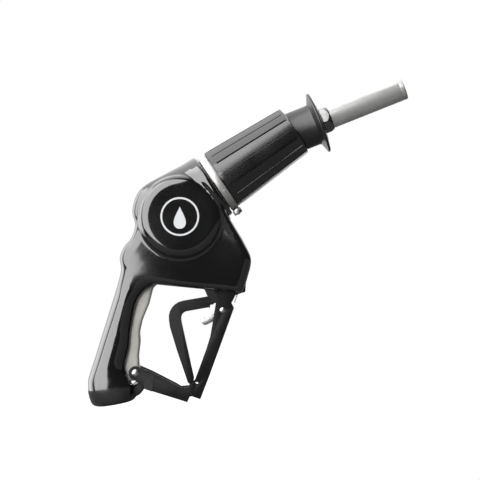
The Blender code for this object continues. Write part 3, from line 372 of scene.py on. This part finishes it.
def gloss_vinyl():
    """Dip-moulded cover: deep black, faint flow in the skin, thumb-worn haze and a few fine scuffs."""
    skin = Finish("gloss_vinyl_skin", (0.0045, 0.0042, 0.0046), 0.1)
    haze = skin.noise(14.0, 4.0)
    hazy = skin.ranged(haze, 0.45, 0.75, 0.0, 1.0)
    skin.colour(skin.mixed(hazy, (0.0042, 0.0040, 0.0044), (0.008, 0.0078, 0.008)))
    scuffs = skin.noise(160.0, 5.0, skin.turned_place(64.0, (0.12, 1.0, 1.0)), 0.7)
    worn = skin.ranged(scuffs, 0.62, 0.78, 0.0, 0.22)
    base = skin.ranged(haze, 0.3, 0.8, 0.07, 0.15)
    total = skin.add("ShaderNodeMath")
    skin.link(base, total.inputs[0])
    skin.link(worn, total.inputs[1])
    skin.rough(total.outputs["Value"])
    skin.bumps((skin.noise(26.0, 2.0), 0.25, 0.35), (skin.noise(420.0, 2.0), 0.08, 0.05))
    skin.shader.inputs["IOR"].default_value = 1.6
    skin.shader.inputs["Specular IOR Level"].default_value = 1.0
    skin.shader.inputs["Coat Weight"].default_value = 1.0
    skin.shader.inputs["Coat Roughness"].default_value = 0.06
    skin.shader.inputs["Coat IOR"].default_value = 1.55
    return skin.material


def sleeve_rubber():
    """Moulded sleeve: dark rubber with a slight sheen and a fine tool grain along the barrel."""
    skin = Finish("sleeve_rubber_skin", (0.006, 0.006, 0.0063), 0.2)
    cloud = skin.noise(30.0, 4.0)
    skin.colour(skin.mixed(cloud, (0.005, 0.005, 0.0053), (0.008, 0.008, 0.0083)))
    skin.rough(skin.ranged(cloud, 0.3, 0.7, 0.17, 0.24))
    skin.shader.inputs["IOR"].default_value = 1.55
    skin.shader.inputs["Specular IOR Level"].default_value = 1.0
    skin.shader.inputs["Coat Weight"].default_value = 1.0
    skin.shader.inputs["Coat Roughness"].default_value = 0.13
    grain = skin.noise(700.0, 2.0, skin.turned_place(BARREL_TILT, (0.06, 1.0, 1.0)))
    skin.bumps((grain, 0.06, 0.03), (skin.noise(900.0, 2.0), 0.05, 0.02))
    return skin.material


def collar_rubber():
    """Face seal: matte charcoal rubber with a chalky bloom."""
    skin = Finish("collar_rubber_skin", (0.016, 0.016, 0.017), 0.5)
    bloom = skin.noise(45.0, 5.0)
    skin.colour(skin.mixed(bloom, (0.012, 0.012, 0.013), (0.021, 0.021, 0.022)))
    skin.rough(skin.ranged(bloom, 0.3, 0.7, 0.33, 0.42))
    skin.bumps((skin.noise(1300.0, 3.0), 0.2, 0.05))
    skin.shader.inputs["Specular IOR Level"].default_value = 1.0
    return skin.material


def cast_aluminium():
    """Die-cast body: warm light metal with a shot-blasted grain and soft stains."""
    metal = Finish("cast_aluminium_skin", (0.6, 0.59, 0.56), 0.5, 0.5)
    stain = metal.noise(38.0, 5.0)
    stained = metal.ranged(stain, 0.35, 0.7, 0.0, 1.0)
    metal.colour(metal.mixed(stained, (0.62, 0.605, 0.57), (0.5, 0.485, 0.445)))
    metal.rough(metal.ranged(metal.noise(220.0, 3.0), 0.3, 0.7, 0.42, 0.58))
    metal.bumps((metal.noise(1500.0, 3.0), 0.35, 0.06), (metal.noise(120.0, 2.0), 0.2, 0.15))
    return metal.material


def brushed(name, colour, roughness, metallic, tilt, stretch):
    """Metal with drawn or brushed lines that run where stretch is small."""
    metal = Finish(name, colour, roughness, metallic)
    lines = metal.noise(1400.0, 3.0, metal.turned_place(tilt, stretch), 0.6)
    cloud = metal.noise(55.0, 4.0)
    dark = tuple(0.86 * part for part in colour)
    metal.colour(metal.mixed(metal.ranged(cloud, 0.35, 0.7, 0.0, 1.0), colour, dark))
    metal.rough(metal.ranged(lines, 0.3, 0.7, roughness - 0.07, roughness + 0.07))
    metal.bumps((lines, 0.25, 0.02))
    return metal.material


def spout_aluminium():
    """Extruded spout: lines along the tube, dulled by filler necks, with small nicks."""
    metal = Finish("spout_aluminium_skin", (0.56, 0.555, 0.54), 0.34, 0.62)
    lines = metal.noise(900.0, 3.0, metal.turned_place(SPOUT_TILT, (0.02, 1.0, 1.0)), 0.6)
    rubs = metal.noise(70.0, 5.0, metal.turned_place(SPOUT_TILT, (1.0, 0.35, 0.35)))
    rubbed = metal.ranged(rubs, 0.45, 0.7, 0.0, 1.0)
    metal.colour(metal.mixed(rubbed, (0.92, 0.915, 0.9), (0.78, 0.775, 0.76)))
    metal.rough(metal.ranged(rubs, 0.3, 0.75, 0.3, 0.46))
    nicks = metal.ranged(metal.noise(340.0, 2.0), 0.68, 0.74, 0.0, 1.0)
    metal.bumps((lines, 0.2, 0.02), (nicks, 0.15, -0.05))
    return metal.material


def black_steel(name, gain):
    """Coated sheet steel: charcoal, a fine texture of the coat and rubbed grey patches."""
    dark = (0.009 * gain, 0.009 * gain, 0.0093 * gain)
    rubbed = (0.018 * gain, 0.018 * gain, 0.0185 * gain)
    coat = Finish(name, dark, 0.45)
    coat.shader.inputs["IOR"].default_value = 1.36
    cloud = coat.noise(60.0, 5.0)
    coat.colour(coat.mixed(coat.ranged(cloud, 0.4, 0.75, 0.0, 1.0), dark, rubbed))
    coat.rough(coat.ranged(cloud, 0.3, 0.7, 0.36, 0.5))
    coat.bumps((coat.noise(1100.0, 3.0), 0.25, 0.05))
    return coat.material


def plain_metal(name, colour, roughness):
    """Machined or drawn small part with uneven polish."""
    metal = Finish(name, colour, roughness, 1.0)
    cloud = metal.noise(180.0, 4.0)
    dark = tuple(0.8 * part for part in colour)
    metal.colour(metal.mixed(metal.ranged(cloud, 0.4, 0.7, 0.0, 1.0), colour, dark))
    metal.rough(metal.ranged(cloud, 0.3, 0.7, roughness - 0.04, roughness + 0.08))
    metal.bumps((metal.noise(1600.0, 2.0), 0.1, 0.02))
    return metal.material


def plain_moulding(name, colour, light, roughness):
    """Small moulded or rubber part with a faint mottle."""
    skin = Finish(name, colour, roughness)
    cloud = skin.noise(120.0, 4.0)
    skin.colour(skin.mixed(cloud, colour, light))
    skin.rough(skin.ranged(cloud, 0.3, 0.7, roughness - 0.06, roughness + 0.06))
    skin.bumps((skin.noise(1400.0, 2.0), 0.12, 0.03))
    return skin.material


def make_finishes():
    return {
        "gloss_vinyl": gloss_vinyl(),
        "cast_aluminium": cast_aluminium(),
        "moulded_rubber": sleeve_rubber(),
        "collar_rubber": collar_rubber(),
        "stainless_steel": brushed("stainless_steel_skin", (0.72, 0.71, 0.69), 0.4, 0.6, BARREL_TILT,
                                   (1.0, 0.03, 0.03)),
        "bright_plating": plain_metal("bright_plating_skin", (0.6, 0.61, 0.605), 0.26),
        "nut_plating": plain_metal("nut_plating_skin", (0.3, 0.305, 0.3), 0.22),
        "zinc_plating": plain_metal("zinc_plating_skin", (0.8, 0.83, 0.79), 0.42),
        "spout_aluminium": spout_aluminium(),
        "black_steel": black_steel("black_steel_coat", 1.0),
        # Copy of the guard's coat at 2.6 times the brightness: a painted highlight for the offset wedges.
        "painted_highlight_black_steel": black_steel("painted_highlight_black_steel_coat", 2.6),
        "valve_brass": plain_metal("valve_brass_skin", (0.72, 0.54, 0.24), 0.28),
        "spring_steel": plain_metal("spring_steel_skin", (0.5, 0.5, 0.51), 0.26),
        "seal_rubber": plain_moulding("seal_rubber_skin", (0.012, 0.012, 0.012), (0.02, 0.02, 0.02), 0.5),
        "acetal": plain_moulding("acetal_skin", (0.7, 0.69, 0.65), (0.76, 0.75, 0.71), 0.38),
        "print": plain_moulding("white_print_ink", (0.78, 0.8, 0.82), (0.86, 0.88, 0.9), 0.4),
    }


# ---- scuff cover -----------------------------------------------------------------------------------------
def eased(values, index, share, crisp):
    """Catmull-Rom value between values[index] and the next; it runs straight into a crisp one."""
    one = values[index]
    two = values[index + 1]
    before = 2.0 * one - two if index in crisp or index == 0 else values[index - 1]
    last = index + 2 >= len(values) or index + 1 in crisp
    after = 2.0 * two - one if last else values[index + 2]
    square = share * share
    cube = square * share
    return (one * (2.0 - 5.0 * square + 3.0 * cube) + two * (share + 4.0 * square - 3.0 * cube)
            - before * (share - 2.0 * square + cube) - after * (square - cube)) * 0.5


def cover_rows(steps):
    """Sections with steps in between: back point, front point, half width, corner radius, crown."""
    rows = []
    for back, front, half_width, corner in COVER_SECTIONS:
        crown = HANDLE_CROWN if len(rows) < 9 else BODY_CROWN
        rows.append((flat(back), flat(front), half_width - 0.4 * crown, corner, crown))
    across = Vector((BARREL_WAY.z, 0.0, -BARREL_WAY.x))
    for distance, radius in BARREL_ROWS:
        centre = flat(BARREL_CENTRE) + BARREL_WAY * distance
        rows.append((centre - across * radius, centre + across * radius, radius, radius, 0.0))
    columns = list(zip(*rows))
    fine = []
    crisps = ((0, len(COVER_SECTIONS)), CRISP_FRONT + (len(COVER_SECTIONS),), (0,), (0,), (0,))
    for index in range(len(rows) - 1):
        for step in range(steps):
            share = step / steps
            fine.append([eased(column, index, share, crisp) for column, crisp in zip(columns, crisps)])
    fine.append(list(rows[-1]))
    return fine


def slope(rows, index, side, way):
    before = rows[max(index - 1, 0)][side]
    after = rows[min(index + 1, len(rows) - 1)][side]
    return max(0.45, abs(way.cross((after - before).normalized()).y))


def section_points(row, back, front, inset, quarter_steps, side_steps):
    """Rounded rectangle from back to front, whose wide sides are slightly crowned."""
    _, _, half_width, corner, crown = row
    way = (front - back).normalized()
    middle = (front + back) * 0.5
    half_length = (front - back).length * 0.5
    half_width -= inset
    radius = min(corner - 0.5 * inset, 0.93 * min(half_length, half_width))
    outline = []
    for quarter in range(4):
        sign_u = (1, -1, -1, 1)[quarter]
        sign_y = (1, 1, -1, -1)[quarter]
        for step in range(quarter_steps + 1):
            angle = (quarter + step / quarter_steps) * TURN / 4.0
            outline.append((sign_u * (half_length - radius) + radius * math.cos(angle),
                            sign_y * (half_width - radius) + radius * math.sin(angle)))
        following = (-1, -1, 1, 1)[quarter]
        for step in range(1, side_steps):
            share = step / side_steps
            if quarter % 2 == 0:
                start = sign_u * (half_length - radius)
                outline.append((start + share * (following * (half_length - radius) - start),
                                sign_y * half_width))
    points = []
    for u, y in outline:
        lift = crown * max(0.0, 1.0 - (u / half_length) ** 2)
        crowned = y + math.copysign(lift, y) * min(1.0, abs(y) / half_width)
        points.append(middle + way * u + Vector((0.0, crowned, 0.0)))
    return points


def lofted(name, inset, steps, quarter_steps, side_steps, first=0, tail=0.0):
    """Loft through the cover's sections: one ring of edges is extruded and laid on each section."""
    rows = cover_rows(steps)
    rings = []
    for index in range(first, len(rows)):
        way = (rows[index][1] - rows[index][0]).normalized()
        straight = index >= (len(COVER_SECTIONS) - 1) * steps
        back_slope = 1.0 if straight else slope(rows, index, 0, way)
        front_slope = 1.0 if straight else slope(rows, index, 1, way)
        back = rows[index][0] + way * (inset / back_slope)
        front = rows[index][1] - way * (inset / front_slope)
        rings.append(section_points(rows[index], back, front, inset, quarter_steps, side_steps))
    if tail:
        rings.append([point + BARREL_WAY * tail for point in rings[-1]])
    return laid(name, rings)


def laid(name, rings, tube=False):
    """Skin over rings of points in millimetres; a tube is open and runs back to its first ring."""
    put_down()
    bpy.ops.mesh.primitive_circle_add(vertices=len(rings[0]), radius=10.0 * MM, fill_type="NGON")
    piece = bpy.context.object
    piece.name = name
    bpy.ops.object.mode_set(mode="EDIT")
    bpy.ops.mesh.select_all(action="SELECT")
    for number, ring in enumerate(rings):
        if number:
            bpy.ops.mesh.extrude_region_move(TRANSFORM_OT_translate={"value": (0.0, 0.0, MM)})
        mesh = bmesh.from_edit_mesh(piece.data)
        loop = [face for face in mesh.faces if face.select][0].verts
        for vertex, point in zip(loop, ring):
            vertex.co = point * MM
        bmesh.update_edit_mesh(piece.data)
    if tube:
        for face in bmesh.from_edit_mesh(piece.data).faces:
            face.select = len(face.verts) == len(rings[0])
        bpy.ops.mesh.bridge_edge_loops()
    tidy_surface(piece)
    return piece


def boss_form(name, inset, steps):
    radius = BOSS_RADIUS - inset
    half = BOSS_HALF_WIDTH - inset
    shoulder = BOSS_SHOULDER - 0.5 * inset
    low = arc((radius - shoulder, -half + shoulder), shoulder, -90.0, 0.0, 8)
    high = arc((radius - shoulder, half - shoulder), shoulder, 0.0, 90.0, 8)
    return spun(name, [(0.0, -half)] + low + high + [(0.0, half)], ON_BOSS, steps)


def underside(x, inside):
    way = (flat(UNDERSIDE[1]) - flat(UNDERSIDE[0])).normalized()
    inward = Vector((-way.z, 0.0, way.x))
    share = (x - UNDERSIDE[0][0]) / (UNDERSIDE[1][0] - UNDERSIDE[0][0])
    point = flat(UNDERSIDE[0]).lerp(flat(UNDERSIDE[1]), share) + inward * inside
    return (point.x, point.z)


def make_cover(finishes):
    """One moulded skin: form and boss joined, hollowed, slotted, then softened all over."""
    cover = lofted("scuff_cover_skin", 0.0, 5, 9, 6)
    combined(cover, [boss_form("boss_form", 0.0, 120)], "UNION")
    cavity = lofted("cavity", COVER_WALL, 3, 4, 3, first=3, tail=6.0)
    combined(cavity, [boss_form("boss_cavity", COVER_WALL, 64)], "UNION")
    under = [underside(102.6, -12.0), underside(149.5, -12.0), underside(149.5, 11.5), underside(102.6, 11.5)]
    slots = [
        spun("inlet_hole", [(0.0, -4.0), (15.7, -4.0), (15.7, 16.0), (0.0, 16.0)], HERE, 48),
        plate("rib_slot", RIB_SLOT, -RIB_HALF_WIDTH - 0.6, RIB_HALF_WIDTH + 0.6),
        plate("under_slot", under, -GUARD_POCKET, GUARD_POCKET),
        plate("guard_end_slot", GUARD_END_SLOT, -GUARD_POCKET, GUARD_POCKET),
    ]
    combined(cover, [cavity] + slots, "DIFFERENCE")
    combined(cover, [plate("end_lug", END_LUG, -7.9, 7.9)], "UNION")
    applied(cover, "REMESH", mode="VOXEL", voxel_size=COVER_VOXEL * MM)
    applied(cover, "SMOOTH", factor=0.5, iterations=10)
    fitted(cover, "housing", finishes["gloss_vinyl"], "gloss_vinyl", "scuff_cover", angle=80.0)


def make_emblem(finishes):
    """Plain printed badge on the near boss: a fuel drop in a thin round ring."""
    face = BOSS_HALF_WIDTH
    low, high = face - 0.5, face + 0.16
    band = [(17.2, low), (19.0, low), (19.0, high), (17.2, high), (17.2, low)]
    ring = spun("badge_ring", band, ON_BOSS, 96)
    fitted(ring, "housing", finishes["print"], "gloss_vinyl")
    outline = []
    for step in range(48):
        angle = TURN * step / 48
        outline.append((8.6 * math.sin(angle) * math.sin(0.5 * angle) ** 1.6, 11.0 * math.cos(angle) - 1.0))
    turn = Matrix.Rotation(math.radians(VIEW_ROLL), 4, "Y")
    place = Matrix.Translation(flat(BOSS_CENTRE) * MM) @ turn
    drop = plate("badge_drop", outline, -high, -low, place)
    fitted(drop, "housing", finishes["print"], "gloss_vinyl")


# ---- casting, clamp and sleeve ---------------------------------------------------------------------------
def make_casting(finishes):
    """Casting with its facets and sharp edges melted, as a die leaves them."""
    casting = copied("body_casting", "body_casting_skin", flatness=0.05)
    applied(casting, "REMESH", mode="VOXEL", voxel_size=1.15 * MM)
    applied(casting, "SMOOTH", factor=0.5, iterations=9)
    fitted(casting, "housing", finishes["cast_aluminium"], "cast_aluminium", "body_casting", angle=80.0)


def make_clamp(finishes):
    """Band with rolled edges, a pressed slot on the near side and a ribbed screw housing below."""
    inner, outer, half = 31.1, 32.3, 3.5
    profile = [(inner, -half + 0.3), (inner + 0.3, -half), (outer - 0.3, -half), (outer, -half + 0.4),
               (outer, half - 0.4), (outer - 0.3, half), (inner + 0.3, half), (inner, half - 0.3),
               (inner, -half + 0.3)]
    band = spun("clamp_strap", profile, ON_BARREL, 144)
    turn = Matrix.Rotation(math.radians(-90.0 + 30.0), 4, "Z")
    on_slot = ON_BARREL @ turn
    slot = block("slot_tool", (1.2, 14.0, 4.2), on_slot, (outer, 0.0, 0.0))
    tongue = block("slot_tongue", (1.0, 10.6, 3.0), on_slot, (outer - 0.65, -0.9, 0.0))
    rounded(slot, 0.5, 3)
    combined(band, [slot], "DIFFERENCE")
    rounded(tongue, 0.3, 2)
    rounded(band, 0.12, 2, 50.0)
    fitted(band, "housing", finishes["stainless_steel"], "stainless_steel", "clamp_band")
    fitted(tongue, "housing", finishes["stainless_steel"], "stainless_steel")
    housing = block("clamp_housing", (5.0, 13.0, 8.8), ON_BARREL, (outer + 2.7, 0.0, 0.0))
    rounded(housing, 0.8, 3)
    ribs = []
    for number in range(5):
        ribs.append(block("rib_tool_%d" % number, (1.6, 0.9, 7.0), ON_BARREL,
                          (outer + 5.6, -4.4 + 2.2 * number, 0.0)))
    combined(housing, ribs, "DIFFERENCE")
    fitted(housing, "housing", finishes["stainless_steel"], "stainless_steel")
    screw = copied("clamp_screw", "clamp_screw_finished")
    rounded(screw, 0.3, 2)
    fitted(screw, "housing", finishes["bright_plating"], "stainless_steel", "clamp_screw")


def make_sleeve(finishes):
    """Tapered sleeve of eight flat pads: a wide groove at each corner, a fine one down each pad."""
    base, front, end = 31.2, 25.6, 92.4
    edge = [(20.1, 0.0), (20.8, 1.2)]
    half = [(1.2, 0.5), (1.7, 0.0), (5.0, 0.0), (10.0, 0.0), (15.0, 0.0)] + edge
    pad = [(-22.5, 1.2)] + [(-turn, dip) for turn, dip in reversed(half)] + half
    # Distance along the barrel, radius where the ring is round, share of the grooves' depth.
    rows = [(-4.0, 30.7, 0.0), (4.4, 30.7, 0.0), (4.7, 31.2, 0.0), (4.9, None, 0.0), (9.3, None, 0.0)]
    rows += [(distance, None, 1.0) for distance in (9.8, 36.0, 63.0, 89.2)]
    rows += [(89.8, None, 0.0), (91.6, None, 0.0), (end, 24.9, 0.0), (end, 23.3, 0.0), (-4.0, 27.3, 0.0)]
    rings = []
    for distance, fixed, groove in rows:
        radius = fixed or base + (front - base) * (distance - 5.0) / (end - 5.0)
        flat_share = 0.0 if fixed else 0.6
        ring = []
        for number in range(8):
            for turn, dip in pad:
                bulge = 1.0 + flat_share * (1.0 / math.cos(math.radians(turn)) - 1.0)
                reach = radius * bulge - groove * dip
                angle = math.radians(45.0 * number + turn)
                ring.append(Vector((reach * math.cos(angle), reach * math.sin(angle), distance)))
        rings.append(ring)
    sleeve = laid("vapour_sleeve_skin", rings, tube=True)
    settle(sleeve, ON_BARREL @ Matrix.Rotation(math.radians(-5.5), 4, "Z"))
    fitted(sleeve, "housing", finishes["moulded_rubber"], "moulded_rubber", "vapour_sleeve", angle=24.0)


# ---- spout side ------------------------------------------------------------------------------------------
def make_face_seal(finishes):
    """Collar with a thin splash flange: conical back, rounded rim and a dished front."""
    rim = 31.0
    back, front = 31.2, 34.8
    profile = [(14.6, 2.6), (15.2, 2.0), (19.8, 2.0), (20.6, 2.8), (20.6, back - 6.0), (21.2, back - 4.2)]
    profile += [(27.0, back - 2.0)] + arc((rim - 1.4, back + 0.3), 1.4, -100.0, 90.0, 10)
    profile += [(24.0, back + 2.6), (20.0, front - 0.2), (19.4, front), (15.4, front)]
    profile += [(14.6, front - 0.8), (14.6, 2.6)]
    seal = spun("face_seal_skin", profile, ON_SPOUT, 128)
    fitted(seal, "face_seal", finishes["collar_rubber"], "moulded_rubber", "face_seal_collar", angle=32.0)


def make_nut(finishes):
    """Hexagon that runs out in a cone: a six-sided prism cut by a turned form, bored for the spout."""
    low, high, across, bore = 35.3, 44.7, 24.4, 10.95
    corner = across / math.sqrt(3.0)
    put_down()
    bpy.ops.mesh.primitive_cylinder_add(vertices=6, radius=corner * MM, depth=(high - low) * MM)
    nut = bpy.context.object
    nut.name = "spout_nut_finished"
    middle = Matrix.Translation(Vector((0.0, 0.0, 0.5 * (low + high) * MM)))
    settle(nut, ON_SPOUT @ middle @ Matrix.Rotation(math.radians(8.0), 4, "Z"))
    cone = spun("nut_cone", [(0.0, low - 1.0), (corner - 2.6, low - 1.0), (corner + 0.3, low + 1.0),
                             (corner + 0.3, low + 4.4), (11.5, high), (0.0, high)], ON_SPOUT, 96)
    combined(nut, [cone], "INTERSECT")
    rod = [(0.0, low - 2.0), (bore, low - 2.0), (bore, high + 2.0), (0.0, high + 2.0)]
    combined(nut, [spun("nut_bore", rod, ON_SPOUT, 64)], "DIFFERENCE")
    rounded(nut, 0.35, 3, 25.0)
    fitted(nut, "housing", finishes["nut_plating"], "bright_plating", "spout_nut", angle=28.0)


def make_spout(finishes):
    """Tube with an oval port underneath, and the steel ring on its tip."""
    length, radius, wall, ferrule = 124.0, 10.65, 1.5, 4.6
    tip = length - ferrule - 0.3
    bore = radius - wall
    root = -22.0
    profile = [(bore, root), (radius, root), (radius, tip - 0.5), (radius - 0.4, tip)]
    profile += [(bore, tip), (bore, root)]
    tube = spun("spout_tube_skin", profile, ON_SPOUT, 96)
    lower = Vector((SPOUT_WAY.z, 0.0, -SPOUT_WAY.x))
    on_port = placed(BEND + SPOUT_WAY * 100.0, lower) @ Matrix.Diagonal((1.5, 1.0, 1.0, 1.0))
    port = spun("port_tool", [(0.0, 5.0), (2.0, 5.0), (2.0, 14.0), (0.0, 14.0)], on_port, 32)
    combined(tube, [port], "DIFFERENCE")
    fitted(tube, "housing", finishes["spout_aluminium"], "spout_aluminium", "spout_tube", angle=40.0)
    start = length - ferrule
    lip = bore - 0.9
    ring = [(lip, start - 5.0), (bore - 0.3, start - 5.0), (bore - 0.3, start), (radius - 0.3, start)]
    ring += [(radius, start + 0.3)] + arc((radius - 1.0, length - 1.0), 1.0, 0.0, 90.0, 5)
    ring += [(lip + 0.4, length), (lip, length - 0.4), (lip, start - 5.0)]
    piece = spun("spout_ferrule_skin", ring, ON_SPOUT, 96)
    fitted(piece, "housing", finishes["stainless_steel"], "stainless_steel", "spout_ferrule")


# ---- guard, lever and latch ------------------------------------------------------------------------------
def make_guard(finishes):
    """Folded guard, with a wedge on each cheek where its lower end is offset; the wedges take a lighter copy
    of the guard's coat as a painted highlight.
    """
    guard = copied("lever_guard", "lever_guard_finished")
    rounded(guard, 0.4, 3, 30.0)
    fitted(guard, "housing", finishes["black_steel"], "black_steel", "lever_guard")
    for side in (-1.0, 1.0):
        step = plate("guard_step", GUARD_STEP, 10.0 * side, 10.6 * side)
        edit_all(step)
        for vertex in bmesh.from_edit_mesh(step.data).verts:
            beyond = 0.5 * (vertex.co.x / MM - 31.6) / 12.9
            if abs(vertex.co.y) > 10.3 * MM:
                vertex.co.y += side * beyond * MM
        # Painted highlight: the wedge gets the brighter copy of the guard's black coat.
        fitted(step, "housing", finishes["painted_highlight_black_steel"], "black_steel")


def make_lever(finishes):
    """Hand lever, and the latch with the broad tab that a finger pushes."""
    lever = copied("operating_lever", "operating_lever_finished")
    rounded(lever, 1.1, 4, 30.0)
    fitted(lever, "lever", finishes["black_steel"], "black_steel", "operating_lever")
    latch = copied("hold_open_latch", "hold_open_latch_finished")
    rounded(latch, 0.5, 3, 30.0)
    fitted(latch, "latch", finishes["bright_plating"], "stainless_steel", "hold_open_latch")
    tab = plate("latch_tab", LATCH_TAB, -4.6, -3.0)
    at_hole = placed(flat(LATCH_TAB_HOLE), NEAR)
    hole = spun("tab_hole", [(0.0, 2.0), (0.9, 2.0), (0.9, 6.0), (0.0, 6.0)], at_hole, 24)
    combined(tab, [hole], "DIFFERENCE")
    rounded(tab, 0.35, 3, 30.0)
    fitted(tab, "latch", finishes["zinc_plating"], "stainless_steel")


def rivet(name, point, head, height, finish, slot, node):
    """Rivet with two domed heads across the guard."""
    half, shank = 10.8, 2.0
    dome = []
    for step in range(7):
        angle = 0.5 * math.pi * step / 6
        dome.append((head * math.cos(angle), height * math.sin(angle)))
    profile = [(radius, -half - rise) for radius, rise in reversed(dome)]
    profile += [(shank, -half), (shank, half)]
    profile += [(radius, half + rise) for radius, rise in dome]
    piece = spun(name, profile, placed(flat(point), NEAR), 40)
    fitted(piece, "housing", finish, slot, node)


def make_rivets(finishes):
    steel = finishes["stainless_steel"]
    bright = finishes["bright_plating"]
    rivet("guard_rivet_front", UPPER_RIVETS[0], 3.0, 1.0, steel, "stainless_steel", "guard_rivet_1")
    rivet("guard_rivet_rear", UPPER_RIVETS[1], 3.0, 1.0, steel, "stainless_steel", "guard_rivet_2")
    rivet("guard_rivet_low", LOWER_RIVET, 4.0, 1.2, bright, "bright_plating", "guard_lower_rivet")
    rivet("latch_rivet_finished", LATCH_PIVOT, 3.3, 1.3, bright, "stainless_steel", "latch_rivet")


# ---- whole nozzle, studio --------------------------------------------------------------------------------
def dress_cad_nodes(finishes):
    """Give each CAD node that still shows the finish of its slot."""
    for entry in frame["record"]["subparts"]:
        node = frame["nodes"][entry["node"]]
        node.data.materials.clear()
        node.data.materials.append(finishes[entry["material_slot"]])


def softbox(name, left, up, distance, size, strength, target):
    """Soft area light of a radiance, so many degrees left of and above the viewer, out of sight."""
    data = bpy.data.lights.new(name, "AREA")
    data.shape = "RECTANGLE"
    data.size, data.size_y = size
    data.energy = strength * math.pi * size[0] * size[1]
    lamp = bpy.data.objects.new(name, data)
    bpy.context.scene.collection.objects.link(lamp)
    left, up = math.radians(left), math.radians(up)
    level = NEAR * math.cos(left) - VIEW_RIGHT * math.sin(left)
    way = level * math.cos(up) + VIEW_UP * math.sin(up)
    side = VIEW_UP.cross(way).normalized()
    axes = Matrix((side, way.cross(side), way)).transposed().to_4x4()
    lamp.matrix_world = Matrix.Translation(target + way * distance) @ axes
    lamp.visible_camera = False


def make_world():
    """White to the camera; in reflections dark in front and to the right, bright behind and up left."""
    world = bpy.data.worlds.new("studio")
    bpy.context.scene.world = world
    world.use_nodes = True
    tree = world.node_tree
    tree.nodes.clear()
    output = tree.nodes.new("ShaderNodeOutputWorld")
    place = tree.nodes.new("ShaderNodeTexCoord")
    glow = VIEW_UP * 0.45 - VIEW_RIGHT * 0.5 - NEAR * 0.74
    side = tree.nodes.new("ShaderNodeVectorMath")
    side.operation = "DOT_PRODUCT"
    side.inputs[1].default_value = glow
    tree.links.new(place.outputs["Generated"], side.inputs[0])
    ramp = tree.nodes.new("ShaderNodeMapRange")
    ramp.interpolation_type = "SMOOTHSTEP"
    ramp.inputs["From Min"].default_value = 0.1
    ramp.inputs["From Max"].default_value = 0.7
    ramp.inputs["To Min"].default_value = 0.045
    ramp.inputs["To Max"].default_value = 1.7
    tree.links.new(side.outputs["Value"], ramp.inputs["Value"])
    around = tree.nodes.new("ShaderNodeBackground")
    tree.links.new(ramp.outputs["Result"], around.inputs["Strength"])
    seen = tree.nodes.new("ShaderNodeBackground")
    seen.inputs["Color"].default_value = (1.0, 1.0, 1.0, 1.0)
    choice = tree.nodes.new("ShaderNodeMixShader")
    path = tree.nodes.new("ShaderNodeLightPath")
    tree.links.new(path.outputs["Is Camera Ray"], choice.inputs["Fac"])
    tree.links.new(around.outputs["Background"], choice.inputs[1])
    tree.links.new(seen.outputs["Background"], choice.inputs[2])
    tree.links.new(choice.outputs["Shader"], output.inputs["Surface"])


def make_floor(low):
    """Pale floor just under the lowest point."""
    put_down()
    middle = (0.15, 0.0, low - 0.001)
    bpy.ops.mesh.primitive_circle_add(vertices=96, radius=0.6, fill_type="NGON", location=middle)
    floor = bpy.context.object
    floor.name = "floor"
    pale = bpy.data.materials.new("pale_floor")
    pale.use_nodes = True
    shader = pale.node_tree.nodes["Principled BSDF"]
    shader.inputs["Base Color"].default_value = (0.07, 0.07, 0.07, 1.0)
    shader.inputs["Roughness"].default_value = 0.9
    shader.inputs["Emission Color"].default_value = (1.0, 1.0, 1.0, 1.0)
    path = pale.node_tree.nodes.new("ShaderNodeLightPath")
    pale.node_tree.links.new(path.outputs["Is Camera Ray"], shader.inputs["Emission Strength"])
    floor.data.materials.append(pale)


def make_studio():
    """White room, three panels and a strip of light, and the camera square to the nozzle's side."""
    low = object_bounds()[0]
    target = Vector((0.1515, 0.0, 0.1392))
    scene = bpy.context.scene
    scene.view_settings.view_transform = "Standard"
    make_world()
    make_floor(low.z)
    softbox("key_softbox", 40.0, 24.0, 2.6, (3.46, 4.5), 2.9, target)
    softbox("left_panel", 104.0, 12.0, 2.6, (1.6, 3.2), 1.5, target)
    softbox("low_panel", -32.0, -50.0, 1.2, (0.5, 0.34), 0.9, target)
    softbox("under_strip", 4.0, -80.0, 1.2, (0.16, 1.5), 0.9, target)
    data = bpy.data.cameras.new("view")
    data.sensor_width = 36.0
    distance = 1.6
    width = 0.48
    data.lens = data.sensor_width * distance / width
    camera = bpy.data.objects.new("view", data)
    scene.collection.objects.link(camera)
    axes = Matrix((VIEW_RIGHT, VIEW_UP, NEAR)).transposed().to_4x4()
    camera.matrix_world = Matrix.Translation(target + NEAR * distance) @ axes
    data.clip_end = 20.0
    scene.camera = camera


def main():
    finishes = make_finishes()
    dress_cad_nodes(finishes)
    make_cover(finishes)
    make_emblem(finishes)
    make_casting(finishes)
    make_clamp(finishes)
    make_sleeve(finishes)
    make_face_seal(finishes)
    make_nut(finishes)
    make_spout(finishes)
    make_guard(finishes)
    make_lever(finishes)
    make_rivets(finishes)
    make_studio()


main()
